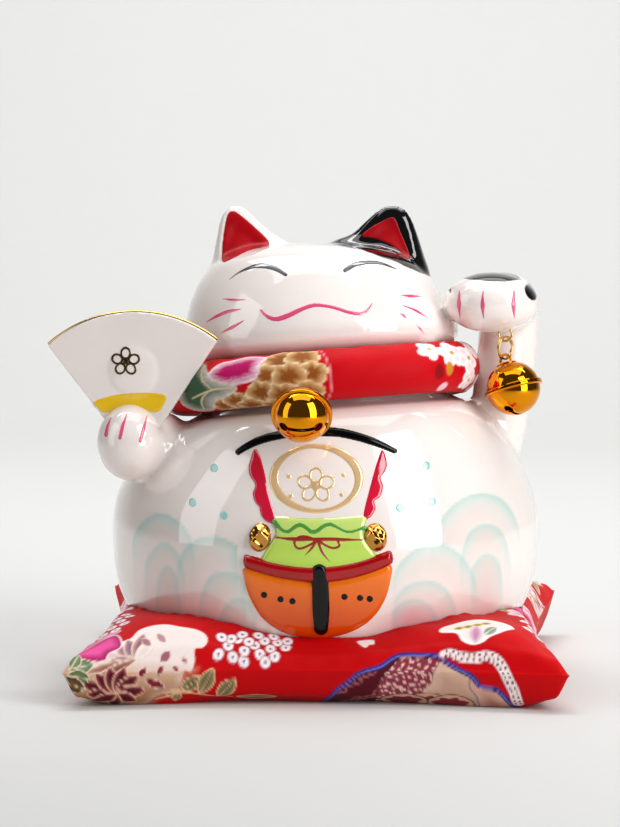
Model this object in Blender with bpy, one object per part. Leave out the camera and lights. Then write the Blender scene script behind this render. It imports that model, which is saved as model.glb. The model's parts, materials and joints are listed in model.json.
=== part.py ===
"""Beckoning cat money bank sitting on a stuffed brocade cushion.

A hollow slip-cast cat (body and head in one casting, two luted arms, a luted fan, a coin slot in the
back and a rubber stopper in the base) wears a stuffed collar with a jingle bell, and a second bell
hangs from its raised paw. Metres, +Z up, the cat faces -Y, and the origin is the centre of the
cushion's underside. "Left" and "right" in the names are the cat's own.
"""

import math

import bmesh
import bpy
from mathutils import Matrix, Vector

MM = 0.001

# ---- fits -----------------------------------------------------------------------------------
GAP = 0.35 * MM  # between solids that touch on the real object
SEAT_GAP = 1.9 * MM  # cushion under the curve of the belly, where both surfaces are faceted

# ---- cushion --------------------------------------------------------------------------------
CUSHION_TIP = 90.0 * MM  # centre to a corner's tip, along X and along Y
CUSHION_WAIST = 84.5 * MM  # centre to the middle of a side
CLOTH = 1.0 * MM
SEAM_HEIGHT = 12.0 * MM
CORNER_LIFT = 3.5 * MM
CROWN = 14.5 * MM  # of the top panel above its seam
SEAT_HEIGHT = 15.0 * MM  # where the cat's foot ring stands
CUSHION_CELLS = 16

# ---- cat casting ----------------------------------------------------------------------------
CAT_HEIGHT = 145.5 * MM  # foot ring to the top of the head, without the ears
BELLY_RADIUS = 79.3 * MM
NECK_RADIUS = 42.4 * MM
HEAD_RADIUS = 51.0 * MM
FOOT_RADIUS = 46.0 * MM
FOOT_WIDTH = 7.0 * MM
BELLY_DEPTH = 0.93  # depth of the belly's section over its width
NECK_DEPTH = 0.87
HEAD_FORWARD = 3.0 * MM
HEAD_ASIDE = 3.2 * MM  # the head sits a little to the cat's right
WALL = 4.0 * MM
RECESS = 9.0 * MM  # the base floor stands this far above the foot
HOLE_RADIUS = 15.3 * MM
SLOT_LENGTH = 38.0 * MM
SLOT_WIDTH = 5.4 * MM
SLOT_HEIGHT = 72.0 * MM  # above the foot
CAT_SIDES = 36
CAVITY_SIDES = 24
CAVITY_RINGS = 20

# ---- ears -----------------------------------------------------------------------------------
EAR_BASE = 24.0 * MM
EAR_HEIGHT = 27.0 * MM
EAR_RISE = 14.2 * MM  # tip above the top of the head
EAR_OUT = 22.5 * MM  # centre of the ear's base from the middle of the head
EAR_LEAN = 7.0 * MM  # tip further out than the base
EAR_TIP = 2.2 * MM
EAR_THICK = 0.56

# ---- ship in relief on the belly ------------------------------------------------------------
RELIEF = 1.8 * MM
HULL_HALF = 25.8 * MM
HULL_TOP = 36.0 * MM  # above the foot
HULL_BOTTOM = 8.0 * MM
SACK_HALF = 19.0 * MM
SACK_NECK = 16.0 * MM
SACK_TOP = 52.0 * MM
INGOT = 3.2 * MM
INGOT_X = 20.4 * MM
INGOT_Z = 44.2 * MM

# ---- raised left arm ------------------------------------------------------------------------
ARM_X = 68.2 * MM
ARM_Y = 2.0 * MM
ARM_HALF_X = 10.6 * MM
ARM_HALF_Y = 11.5 * MM
ARM_ROOT_Z = 66.0 * MM
ARM_SLOPE = 11.0 * MM  # how far the root lies inward of the wrist
PAW_CENTRE = Vector((62.3, -21.0, 140.7)) * MM
PAW_HALF = Vector((16.6, 15.5, 11.4)) * MM

# ---- right arm with the fan -----------------------------------------------------------------
FIST_CENTRE = Vector((-71.0, -36.0, 89.0)) * MM
FIST_HALF = Vector((13.0, 13.0, 14.6)) * MM
CUFF_CENTRE = Vector((-62.0, -22.0, 87.0)) * MM
CUFF_HALF = Vector((14.0, 19.0, 13.0)) * MM
FAN_RADIUS = 47.0 * MM
FAN_HALF_ANGLE = math.radians(42.0)
FAN_THICK = 3.4 * MM
FAN_TURN = math.radians(-6.0)  # about Z
FAN_TANG = 9.0 * MM  # from the fan's centre to the bottom edge of the plate
FAN_LIFT = 3.0 * MM  # the fan's centre above the fist's
FAN_BOSS = 9.0 * MM
FAN_BOSS_RISE = 1.2 * MM
FAN_BOSS_OUT = 28.0 * MM

# ---- stopper --------------------------------------------------------------------------------
STOPPER_FIT = 0.3 * MM
STOPPER_FLANGE = 18.0 * MM
STOPPER_FLANGE_THICK = 2.0 * MM
STOPPER_PLUG = 6.2 * MM  # plug's height above its flange

# ---- collar ---------------------------------------------------------------------------------
COLLAR_HEIGHT = 110.0 * MM
COLLAR_SIDE_TILT = math.tan(math.radians(5.0))
COLLAR_FRONT_TILT = math.tan(math.radians(6.0))
COLLAR_RADIUS = 9.4 * MM
COLLAR_FIT = 2.7 * MM  # between the tube and the groove of the neck
COLLAR_CLOTH = 0.8 * MM
SQUEEZED = 5.8 * MM  # half the collar's width between the neck and the raised arm
COLLAR_END = 3.4 * MM  # radius of the gathered ends
COLLAR_SIDES = 12
COLLAR_STATIONS = 34
TIE_RADIUS = 1.1 * MM

# ---- bells ----------------------------------------------------------------------------------
BELL_RADIUS = 9.9 * MM
BELL_WALL = 0.7 * MM
BELL_FLANGE = 0.95 * MM  # how far the crimped rim stands out
BELL_RIM = 0.6 * MM  # thickness of each shell's rim
CROWN_HOLE = 3.3 * MM
STAPLE_HALF = 2.4 * MM
STAPLE_WIRE = 0.5 * MM
STAPLE_REACH = 3.0 * MM  # top wire's centre above the crown
STAPLE_DEPTH = 2.4 * MM  # bottom wire's centre below the crown
SLIT_WIDTH = 1.7 * MM
SLIT_EYE = 1.9 * MM
SLIT_REACH = 6.3 * MM
PELLET_RADIUS = 2.7 * MM
PELLET_FIT = 0.3 * MM
BELL_SIDES = 20

# ---- hanging wires --------------------------------------------------------------------------
LINK_FIT = 0.3 * MM
EYE_RADIUS = 2.4 * MM
EYE_WIRE = 0.5 * MM
EYE_LOW = Vector((67.0, -25.0, 126.3)) * MM  # centre of the eye's lowest wire
SPLIT_RADIUS = 4.1 * MM
SPLIT_WIRE = 0.8 * MM
SPLIT_TURN = math.radians(52.0)
PAW_BELL_LEAN = math.radians(20.0)
JUMP_RADIUS = 2.0 * MM
JUMP_WIRE = 0.45 * MM
THREAD_WIRE = 0.4 * MM
THREAD_END = 0.3 * MM  # legs of the thread past the ring
COLLAR_BELL_X = -5.3 * MM
COLLAR_BELL_DROP = math.radians(28.5)  # of the line from the collar down to the bell

FOOT = SEAT_HEIGHT
HEAD_TOP = FOOT + CAT_HEIGHT


# ---- general tools --------------------------------------------------------------------------
def clear_scene():
    for old in list(bpy.data.objects):
        bpy.data.objects.remove(old, do_unlink=True)


def material(name, colour, roughness, metallic=0.0):
    made = bpy.data.materials.new(name)
    made.use_nodes = True
    shader = made.node_tree.nodes["Principled BSDF"]
    shader.inputs["Base Color"].default_value = (*colour, 1.0)
    shader.inputs["Roughness"].default_value = roughness
    shader.inputs["Metallic"].default_value = metallic
    return made


def add_object(name, mesh, finish=None):
    made = bpy.data.objects.new(name, mesh)
    bpy.context.scene.collection.objects.link(made)
    if finish:
        mesh.materials.append(finish)
    return made


def from_bmesh(name, shape, finish=None, smooth=True):
    bmesh.ops.recalc_face_normals(shape, faces=shape.faces)
    mesh = bpy.data.meshes.new(name)
    shape.to_mesh(mesh)
    shape.free()
    if smooth:
        mesh.shade_smooth()
        mesh.set_sharp_from_angle(angle=math.radians(40))
    return add_object(name, mesh, finish)


def helper(made):
    """Marks an object as a cutter or a shape to join, which is not a piece by itself."""
    made.hide_render = True
    made.display_type = "WIRE"
    return made


def boolean(target, other, operation):
    step = target.modifiers.new(operation.title() + " " + other.name, "BOOLEAN")
    step.operation = operation
    step.solver = "EXACT"
    step.object = helper(other)
    return target


def catmull(points, t):
    """The point at t, 0 to 1, of a smooth curve through the points, given as tuples of numbers."""
    spans = len(points) - 1
    at = min(max(t, 0.0), 1.0) * spans
    i = min(int(at), spans - 1)
    u = at - i
    before, here = points[max(i - 1, 0)], points[i]
    there, after = points[i + 1], points[min(i + 2, spans)]
    return tuple(
        0.5 * (2 * b + (c - a) * u + (2 * a - 5 * b + 4 * c - d) * u**2 + (3 * b - a - 3 * c + d) * u**3)
        for a, b, c, d in zip(before, here, there, after)
    )


def blend_step(low, high, value):
    """0 below low, 1 above high, and a smooth step between them."""
    t = min(max((value - low) / (high - low), 0.0), 1.0)
    return t * t * (3 - 2 * t)


def loft(name, rings, finish=None, closed_ends=True):
    """A skin over rings of points, each ring with the same count."""
    shape = bmesh.new()
    made = [[shape.verts.new(p) for p in ring] for ring in rings]
    count = len(rings[0])
    for lower, upper in zip(made, made[1:]):
        for k in range(count):
            n = (k + 1) % count
            shape.faces.new((lower[k], lower[n], upper[n], upper[k]))
    if closed_ends:
        shape.faces.new(reversed(made[0]))
        shape.faces.new(made[-1])
    return from_bmesh(name, shape, finish)


def ellipsoid(name, centre, half, rings=12, sides=20, finish=None):
    shape = bmesh.new()
    bmesh.ops.create_uvsphere(shape, u_segments=sides, v_segments=rings, radius=1.0)
    bmesh.ops.scale(shape, vec=half, verts=shape.verts)
    bmesh.ops.translate(shape, vec=centre, verts=shape.verts)
    return from_bmesh(name, shape, finish)


def cylinder(name, radius, low, high, sides=40, finish=None, top_radius=None):
    """An upright cylinder, or a cone, on the Z axis from low to high."""
    shape = bmesh.new()
    bmesh.ops.create_cone(
        shape,
        cap_ends=True,
        segments=sides,
        radius1=radius,
        radius2=radius if top_radius is None else top_radius,
        depth=high - low,
    )
    bmesh.ops.translate(shape, vec=(0, 0, (low + high) / 2), verts=shape.verts)
    return from_bmesh(name, shape, finish)


def box(name, centre, size):
    shape = bmesh.new()
    bmesh.ops.create_cube(shape, size=1.0)
    bmesh.ops.scale(shape, vec=size, verts=shape.verts)
    bmesh.ops.translate(shape, vec=centre, verts=shape.verts)
    return from_bmesh(name, shape, smooth=False)


def prism(name, outline, near, far):
    """A flat outline in X and Z, extruded along Y from near to far."""
    shape = bmesh.new()
    face = shape.faces.new([shape.verts.new((x, near, z)) for x, z in outline])
    grown = bmesh.ops.extrude_face_region(shape, geom=[face])
    moved = [v for v in grown["geom"] if isinstance(v, bmesh.types.BMVert)]
    bmesh.ops.translate(shape, vec=(0, far - near, 0), verts=moved)
    return from_bmesh(name, shape)


def sweep(name, centres, sections, sides, finish=None, ring=False):
    """A tube along centres. Each section is (half width sideways, half height); a ring has no ends."""
    count = len(centres)
    rings = []
    for k, here in enumerate(centres):
        if ring:
            along = centres[(k + 1) % count] - centres[k - 1]
        else:
            along = centres[min(k + 1, count - 1)] - centres[max(k - 1, 0)]
        along.normalize()
        across = along.cross(Vector((0, 0, 1)))
        if across.length < 0.2:
            across = along.cross(Vector((0, 1, 0)))
        across.normalize()
        up = across.cross(along)
        wide, tall = sections[k]
        angles = [2 * math.pi * (j + 0.5) / sides for j in range(sides)]
        rings.append([here + across * wide * math.cos(a) + up * tall * math.sin(a) for a in angles])
    return rings if name is None else loft(name, rings, finish)


def wire(name, points, radius, finish, sides=8, cyclic=False):
    """A round wire along points, as a curve with a bevel."""
    curve = bpy.data.curves.new(name, "CURVE")
    curve.dimensions = "3D"
    curve.bevel_depth = radius
    curve.bevel_resolution = sides // 4
    curve.use_fill_caps = not cyclic
    spline = curve.splines.new("POLY")
    spline.points.add(len(points) - 1)
    for place, p in zip(spline.points, points):
        place.co = (*p, 1.0)
    spline.use_cyclic_u = cyclic
    made = bpy.data.objects.new(name, curve)
    bpy.context.scene.collection.objects.link(made)
    curve.materials.append(finish)
    return made


def wire_ring(name, centre, across, up, half_across, half_up, radius, finish, steps=20):
    """A closed wire loop, an ellipse in the plane of the across and up directions."""
    turn = [2 * math.pi * k / steps for k in range(steps)]
    points = [centre + across * half_across * math.cos(a) + up * half_up * math.sin(a) for a in turn]
    return wire(name, points, radius, finish, cyclic=True)


# ---- the cat's outer form -------------------------------------------------------------------
def cat_profile():
    """Half width and height of the cat's side outline, from the foot ring to the top of the head.

    The neck is a round groove that fits the collar's tube.
    """
    groove = COLLAR_RADIUS + COLLAR_FIT
    groove_r = NECK_RADIUS + groove
    belly = [
        (FOOT_RADIUS, FOOT),
        (BELLY_RADIUS * 0.80, FOOT + 2.0 * MM),
        (BELLY_RADIUS * 0.885, FOOT + 7.0 * MM),
        (BELLY_RADIUS * 0.955, FOOT + 16.0 * MM),
        (BELLY_RADIUS * 0.995, FOOT + 28.0 * MM),
        (BELLY_RADIUS, FOOT + 40.0 * MM),
        (BELLY_RADIUS * 0.975, FOOT + 52.0 * MM),
        (BELLY_RADIUS * 0.925, FOOT + 64.0 * MM),
        (BELLY_RADIUS * 0.85, FOOT + 75.0 * MM),
        (BELLY_RADIUS * 0.76, FOOT + 83.0 * MM),
    ]
    neck = [
        (
            groove_r + groove * math.cos(math.radians(a)),
            COLLAR_HEIGHT + groove * math.sin(math.radians(a)),
        )
        for a in (-97, -135, 180, 138)
    ]
    head = [
        (HEAD_RADIUS * 0.965, COLLAR_HEIGHT + groove + 0.4 * MM),
        (HEAD_RADIUS, HEAD_TOP - 33.0 * MM),
        (HEAD_RADIUS * 0.965, HEAD_TOP - 22.0 * MM),
        (HEAD_RADIUS * 0.90, HEAD_TOP - 12.5 * MM),
        (HEAD_RADIUS * 0.80, HEAD_TOP - 5.5 * MM),
        (HEAD_RADIUS * 0.55, HEAD_TOP - 1.2 * MM),
        (HEAD_RADIUS * 0.10, HEAD_TOP),
    ]
    return belly + neck + head


def cat_rings(grow=0.0, sides=CAT_SIDES, rings=0):
    """Rings of points of the cat's surface, moved out along its normal by grow.

    They run through the profile's own points, with more of them at the neck, or evenly where a
    count of rings is given.
    """
    outline = cat_profile()
    spans = len(outline) - 1
    steps = sorted([*range(spans + 1), 9.5, 10.5, 11.5, 12.5, 13.5])
    if rings:
        steps = [spans * k / (rings - 1) for k in range(rings)]
    made = []
    for step in steps:
        t = step / spans
        r, z = catmull(outline, t)
        ahead, behind = catmull(outline, min(t + 0.004, 1.0)), catmull(outline, max(t - 0.004, 0.0))
        dr, dz = ahead[0] - behind[0], ahead[1] - behind[1]
        size = math.hypot(dr, dz)
        r, z = max(r + grow * dz / size, 0.5 * MM), z - grow * dr / size
        made.append(cat_ring(r, z, grow, sides))
    return made


def neck_share(z):
    """0 in the belly and 1 in the head."""
    return blend_step(FOOT + 50 * MM, COLLAR_HEIGHT - 6 * MM, z)


def half_depth(r, z):
    """Half the section's depth where half its width is r; round the neck the groove keeps its shape."""
    up = neck_share(z)
    depth = BELLY_DEPTH + (NECK_DEPTH - BELLY_DEPTH) * up
    return r * depth + max(r - NECK_RADIUS, 0.0) * (1 - depth) * up


def cat_ring(r, z, grow, sides):
    """One ring: an ellipse that is rounder low down, with the neck's rings tilted as the collar is."""
    wide, deep = r, half_depth(r - grow, z) + grow
    forward = HEAD_FORWARD * neck_share(z)
    aside = HEAD_ASIDE * blend_step(COLLAR_HEIGHT + 4 * MM, HEAD_TOP - 18 * MM, z)
    tilt = blend_step(FOOT + 50 * MM, COLLAR_HEIGHT - 8 * MM, z)
    tilt *= 1 - blend_step(COLLAR_HEIGHT + 8 * MM, HEAD_TOP - 12 * MM, z)
    ring = []
    for j in range(sides):
        a = 2 * math.pi * j / sides
        x, y = wide * math.cos(a), deep * math.sin(a)
        lift = tilt * (x * COLLAR_SIDE_TILT - y * COLLAR_FRONT_TILT)
        ring.append(Vector((x - aside, y - forward, z + lift)))
    return ring


def cat_skin(name, grow=0.0, sides=CAT_SIDES, rings=0, finish=None):
    return loft(name, cat_rings(grow, sides, rings), finish)


def cat_depth_at(z):
    """The belly's front, as a negative Y, at height z above the foot."""
    outline = cat_profile()
    samples = [catmull(outline, k / 400) for k in range(240)]
    r = min(samples, key=lambda p: abs(p[1] - FOOT - z))[0]
    return -r * BELLY_DEPTH


# ---- ceramic --------------------------------------------------------------------------------
def ear(side):
    """A leaning cone with a blunt tip, flattened from front to back."""
    shape = bmesh.new()
    bmesh.ops.create_cone(
        shape,
        cap_ends=True,
        segments=16,
        radius1=EAR_BASE,
        radius2=EAR_TIP,
        depth=EAR_HEIGHT,
    )
    for v in shape.verts:
        up = v.co.z / EAR_HEIGHT + 0.5
        v.co.x += side * EAR_LEAN * up
        v.co.y *= EAR_THICK
    base = HEAD_TOP + EAR_RISE - EAR_HEIGHT / 2
    place = Vector((side * EAR_OUT - HEAD_ASIDE, -HEAD_FORWARD, base))
    bmesh.ops.translate(shape, vec=place, verts=shape.verts)
    return from_bmesh("ear_left" if side > 0 else "ear_right", shape)


def hull_outline():
    """The ship's hull: a sheer line that sags in the middle over a round bottom."""
    top, low = FOOT + HULL_TOP, FOOT + HULL_BOTTOM
    sheer = [(HULL_HALF * s, top - 3.0 * MM * (1 - s * s)) for s in (1, 0.5, 0, -0.5, -1)]
    steps = [math.pi * k / 12 for k in range(1, 12)]
    bottom = [(-HULL_HALF * math.cos(a), top - (top - low) * math.sin(a) ** 0.8) for a in steps]
    return sheer + bottom


def sack_outline():
    low = FOOT + HULL_TOP - 6.0 * MM
    top = FOOT + SACK_TOP
    neck = top - 7.0 * MM
    half = [(SACK_HALF * 1.12, low), (SACK_HALF, low + 5 * MM), (SACK_NECK * 0.9, neck), (SACK_NECK, top)]
    return half + [(-x, z) for x, z in reversed(half)]


def relief(name, outline, height, sides):
    """A flat outline raised from the belly; the count of sides keeps its facets off the belly's own."""
    front = cat_depth_at(HULL_TOP)
    made = prism(name, outline, front * 1.3, front * 0.55)
    return boolean(made, cat_skin(name + "_face", height, sides, CAVITY_RINGS + 9), "INTERSECT")


def body_shell(finish):
    body = cat_skin("body_shell", finish=finish)
    for side in (-1, 1):
        boolean(body, ear(side), "UNION")
    boolean(body, relief("hull_relief", hull_outline(), RELIEF, CAT_SIDES + 2), "UNION")
    boolean(body, relief("sack_relief", sack_outline(), RELIEF * 0.75, CAT_SIDES + 6), "UNION")
    for side in (-1, 1):
        front = cat_depth_at(INGOT_Z) * math.cos(math.asin(INGOT_X / BELLY_RADIUS))
        centre = (side * INGOT_X, front, FOOT + INGOT_Z)
        boolean(body, ellipsoid("ingot", centre, Vector((1.2, 0.9, 1)) * INGOT, 6, 10), "UNION")
    boolean(body, cavity(), "DIFFERENCE")
    inner_foot = FOOT_RADIUS - FOOT_WIDTH
    recess = cylinder("base_recess", inner_foot, FOOT - WALL, FOOT + RECESS, top_radius=inner_foot - 3 * MM)
    boolean(body, recess, "DIFFERENCE")
    hole = cylinder("base_hole", HOLE_RADIUS, FOOT, FOOT + RECESS + 1.7 * WALL)
    boolean(body, hole, "DIFFERENCE")
    back = BELLY_RADIUS * BELLY_DEPTH
    slot = box(
        "coin_slot",
        (0, back * 0.85, FOOT + SLOT_HEIGHT),
        (SLOT_LENGTH, back * 0.6, SLOT_WIDTH),
    )
    boolean(body, slot, "DIFFERENCE")
    return body


def cavity():
    """The hollow inside: the cat's surface moved in by the wall, above the base floor."""
    floor = FOOT + RECESS + WALL
    rings = cat_rings(-WALL, CAVITY_SIDES, CAVITY_RINGS)
    kept = [ring for ring in rings if ring[0].z > floor + 1.5 * MM]
    first = [Vector((p.x * 0.96, p.y * 0.96, floor)) for p in kept[0]]
    return loft("cavity", [first] + kept[:-1])


def raised_arm(finish):
    """The forearm stands up beside the neck and the paw bends forward over the collar."""
    top = PAW_CENTRE.z
    stations = [(k / 6, 1.0) for k in range(6)] + [(0.97, 0.94), (1.05, 0.72), (1.10, 0.36)]
    rings = []
    for t, size in stations:
        z = ARM_ROOT_Z + (top - ARM_ROOT_Z) * t
        swell = 1.0 + 0.22 * (1 - t) ** 2
        centre = Vector((ARM_X - (1 - t) ** 2 * ARM_SLOPE, ARM_Y - 2 * MM * t, z))
        turn = [2 * math.pi * j / 20 for j in range(20)]
        wide, deep = ARM_HALF_X * size, ARM_HALF_Y * swell * size
        rings.append([centre + Vector((wide * math.cos(a), deep * math.sin(a), 0)) for a in turn])
    arm = loft("raised_arm", rings, finish)
    boolean(arm, ellipsoid("paw", PAW_CENTRE, PAW_HALF), "UNION")
    wrist = (PAW_CENTRE + Vector((ARM_X, ARM_Y, top - 2 * MM))) / 2
    boolean(arm, ellipsoid("wrist", wrist, Vector((13.0, 15.0, 11.6)) * MM), "UNION")
    boolean(arm, eye_bed(), "DIFFERENCE")
    boolean(arm, cat_skin("arm_joint_face", grow=GAP), "DIFFERENCE")
    return arm


def fan_matrix():
    lift = Vector((0, 0, FAN_LIFT))
    return Matrix.Translation(FIST_CENTRE + lift) @ Matrix.Rotation(FAN_TURN, 4, "Z")


def fan_plate(name, thick, grow, finish=None):
    """The fan's plate: a sector with an arched top edge, cut straight across inside the fist."""
    steps = 14
    reach = FAN_RADIUS + grow
    angles = [FAN_HALF_ANGLE * (1 - 2 * k / steps) for k in range(steps + 1)]
    arc = [(reach * math.sin(a), reach * math.cos(a)) for a in angles]
    half = FAN_TANG * math.tan(FAN_HALF_ANGLE) * 1.05 + grow
    foot = [(-half, FAN_TANG - 4 * MM - grow), (half, FAN_TANG - 4 * MM - grow)]
    made = prism(name, arc + foot, -thick / 2, thick / 2)
    made.data.transform(fan_matrix())
    if finish:
        made.data.materials.append(finish)
    return made


def fan(finish):
    made = fan_plate("fan", FAN_THICK, 0.0, finish)
    boss = ellipsoid(
        "fan_boss",
        fan_matrix() @ Vector((0, -FAN_THICK / 2, FAN_BOSS_OUT)),
        (FAN_BOSS, FAN_BOSS_RISE, FAN_BOSS),
        6,
        18,
    )
    return boolean(made, boss, "UNION")


def fan_arm(finish):
    """The right forearm comes out of the shoulder and ends in the fist that holds the fan."""
    fist = ellipsoid("fan_arm", FIST_CENTRE, FIST_HALF, finish=finish)
    boolean(fist, ellipsoid("cuff", CUFF_CENTRE, CUFF_HALF), "UNION")
    boolean(fist, cat_skin("fan_arm_joint_face", grow=GAP), "DIFFERENCE")
    boolean(fist, fan_plate("fan_bed", FAN_THICK + 2 * GAP, GAP), "DIFFERENCE")
    return fist


def base_stopper(finish):
    """A soft bung: its flange seats under the base floor, its plug fills the hole."""
    under = FOOT + RECESS - GAP
    flange = cylinder("base_stopper", STOPPER_FLANGE, under - STOPPER_FLANGE_THICK, under, finish=finish)
    plug = cylinder(
        "stopper_plug",
        HOLE_RADIUS - STOPPER_FIT,
        under - STOPPER_FLANGE_THICK / 2,
        under + STOPPER_PLUG,
        top_radius=HOLE_RADIUS - STOPPER_FIT - 0.8 * MM,
    )
    boolean(flange, plug, "UNION")
    return flange


# ---- cushion --------------------------------------------------------------------------------
def cushion_plan(s, t):
    """A square with corners drawn out and sides drawn in; s and t run from -1 to 1."""
    pull = CUSHION_TIP - CUSHION_WAIST
    return s * (CUSHION_WAIST + pull * t * t), t * (CUSHION_WAIST + pull * s * s)


def belly_under(r):
    """Height of the cat's underside at radius r."""
    outline = cat_profile()
    samples = [catmull(outline, k / 200) for k in range(60)]
    lower = [p for p in samples if p[0] <= r]
    return lower[-1][1] if lower else FOOT


def seam_height(s, t):
    return SEAM_HEIGHT + CORNER_LIFT * (s * t) ** 2


def cushion_top(s, t):
    x, y = cushion_plan(s, t)
    dome = ((1 - s**4) * (1 - t**4)) ** 0.42
    z = seam_height(s, t) + GAP / 2 + CLOTH + CROWN * dome
    r = math.hypot(x, y / BELLY_DEPTH)
    under = belly_under(r - CUSHION_WAIST / CUSHION_CELLS)
    gap = GAP + (SEAT_GAP - GAP) * blend_step(FOOT_RADIUS - 8 * MM, FOOT_RADIUS + 6 * MM, r)
    return min(z, under - gap) if r < BELLY_RADIUS * 0.985 else z


def cushion_bottom(s, t):
    dome = ((1 - s**4) * (1 - t**4)) ** 0.42
    return max(seam_height(s, t) - GAP / 2 - CLOTH - (SEAM_HEIGHT + CORNER_LIFT + 4 * MM) * dome, 0.0)


def pad(name, upper, lower, finish, inset=0):
    """A closed solid between two height functions; the cells are finer toward the edges."""
    shape = bmesh.new()
    half = CUSHION_CELLS // 2
    cells = [math.sin(math.pi / 2 * k / half) for k in range(inset - half, half - inset + 1)]
    last = len(cells) - 1

    def layer(height):
        return [[shape.verts.new((*cushion_plan(s, t), height(s, t))) for s in cells] for t in cells]

    high, low = layer(upper), layer(lower)
    for i in range(last):
        for j in range(last):
            for corners in (((i, j), (i, j + 1), (i + 1, j + 1)), ((i, j), (i + 1, j + 1), (i + 1, j))):
                shape.faces.new([high[a][b] for a, b in corners])
                shape.faces.new([low[a][b] for a, b in reversed(corners)])
    rim = [(0, j) for j in range(last)] + [(i, last) for i in range(last)]
    rim += [(last, last - j) for j in range(last)] + [(last - i, 0) for i in range(last)]
    for (a, b), (c, d) in zip(rim, rim[1:] + rim[:1]):
        shape.faces.new((low[a][b], low[c][d], high[c][d], high[a][b]))
    return from_bmesh(name, shape, finish)


def cushion(cloth, wadding):
    pad("cushion_top_panel", cushion_top, lambda s, t: cushion_top(s, t) - CLOTH, cloth)
    pad("cushion_bottom_panel", lambda s, t: cushion_bottom(s, t) + CLOTH, cushion_bottom, cloth)
    pad(
        "cushion_filling",
        lambda s, t: cushion_top(s, t) - CLOTH - GAP,
        lambda s, t: cushion_bottom(s, t) + CLOTH + GAP,
        wadding,
        inset=1,
    )


# ---- collar ---------------------------------------------------------------------------------
def collar_centre(angle, wide):
    """Centre of the tube at an angle round the neck, where half the tube's width is wide."""
    out = wide + COLLAR_FIT / 2
    x = (NECK_RADIUS + out) * math.cos(math.radians(angle))
    y = (NECK_RADIUS * NECK_DEPTH + out) * math.sin(math.radians(angle)) - HEAD_FORWARD
    return Vector((x, y, COLLAR_HEIGHT + x * COLLAR_SIDE_TILT - y * COLLAR_FRONT_TILT))


def collar_point(t):
    """Centre and section of the collar at t: it starts behind the neck, on the cat's left side.

    It is squeezed thin between the neck and the raised arm, and bulges in front of that arm.
    """
    turns = [
        (84, COLLAR_END, COLLAR_END),
        (74, COLLAR_RADIUS * 0.86, COLLAR_RADIUS * 0.86),
        (50, COLLAR_RADIUS * 0.97, COLLAR_RADIUS),
        (25, COLLAR_RADIUS * 0.80, COLLAR_RADIUS),
        (4, SQUEEZED, COLLAR_RADIUS),
        (-18, COLLAR_RADIUS * 0.88, COLLAR_RADIUS),
        (-45, COLLAR_RADIUS, COLLAR_RADIUS),
        (-90, COLLAR_RADIUS, COLLAR_RADIUS),
        (-135, COLLAR_RADIUS, COLLAR_RADIUS),
        (-180, COLLAR_RADIUS, COLLAR_RADIUS),
        (-225, COLLAR_RADIUS, COLLAR_RADIUS),
        (-254, COLLAR_RADIUS * 0.86, COLLAR_RADIUS * 0.86),
        (-264, COLLAR_END, COLLAR_END),
    ]
    angle, wide, tall = catmull(turns, t)
    return collar_centre(angle, wide), (wide, tall)


def collar_rings(shrink, first, last, sides, stations):
    """Rings of the collar's tube, from parameter first to last, with its section shrunk."""
    ts = [first + (last - first) * k / (stations - 1) for k in range(stations)]
    found = [collar_point(t) for t in ts]
    sections = [(w - shrink, h - shrink) for _, (w, h) in found]
    return sweep(None, [c for c, _ in found], sections, sides)


def collar(cloth, wadding, cord):
    outer = collar_rings(0.0, 0.0, 1.0, COLLAR_SIDES, COLLAR_STATIONS)
    inner = collar_rings(COLLAR_CLOTH, 0.0, 1.0, COLLAR_SIDES, COLLAR_STATIONS)
    shape = bmesh.new()
    skins = [[[shape.verts.new(p) for p in ring] for ring in rings] for rings in (outer, inner)]
    for skin in skins:
        for here, there in zip(skin, skin[1:]):
            for k in range(COLLAR_SIDES):
                n = (k + 1) % COLLAR_SIDES
                shape.faces.new((here[k], here[n], there[n], there[k]))
    for end in (0, -1):
        for k in range(COLLAR_SIDES):
            n = (k + 1) % COLLAR_SIDES
            shape.faces.new((skins[0][end][k], skins[0][end][n], skins[1][end][n], skins[1][end][k]))
    from_bmesh("collar_cover", shape, cloth)
    filling = collar_rings(COLLAR_CLOTH + GAP, 0.0, 1.0, COLLAR_SIDES, COLLAR_STATIONS)
    loft("collar_filling", filling[2:-2], wadding)
    start, finish_point = collar_point(0.0)[0], collar_point(1.0)[0]
    ends = (start - finish_point).normalized() * 1.5 * MM
    middle = (start + finish_point) / 2
    wire("collar_elastic", [start + ends, middle, finish_point - ends], TIE_RADIUS, cord)


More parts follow.
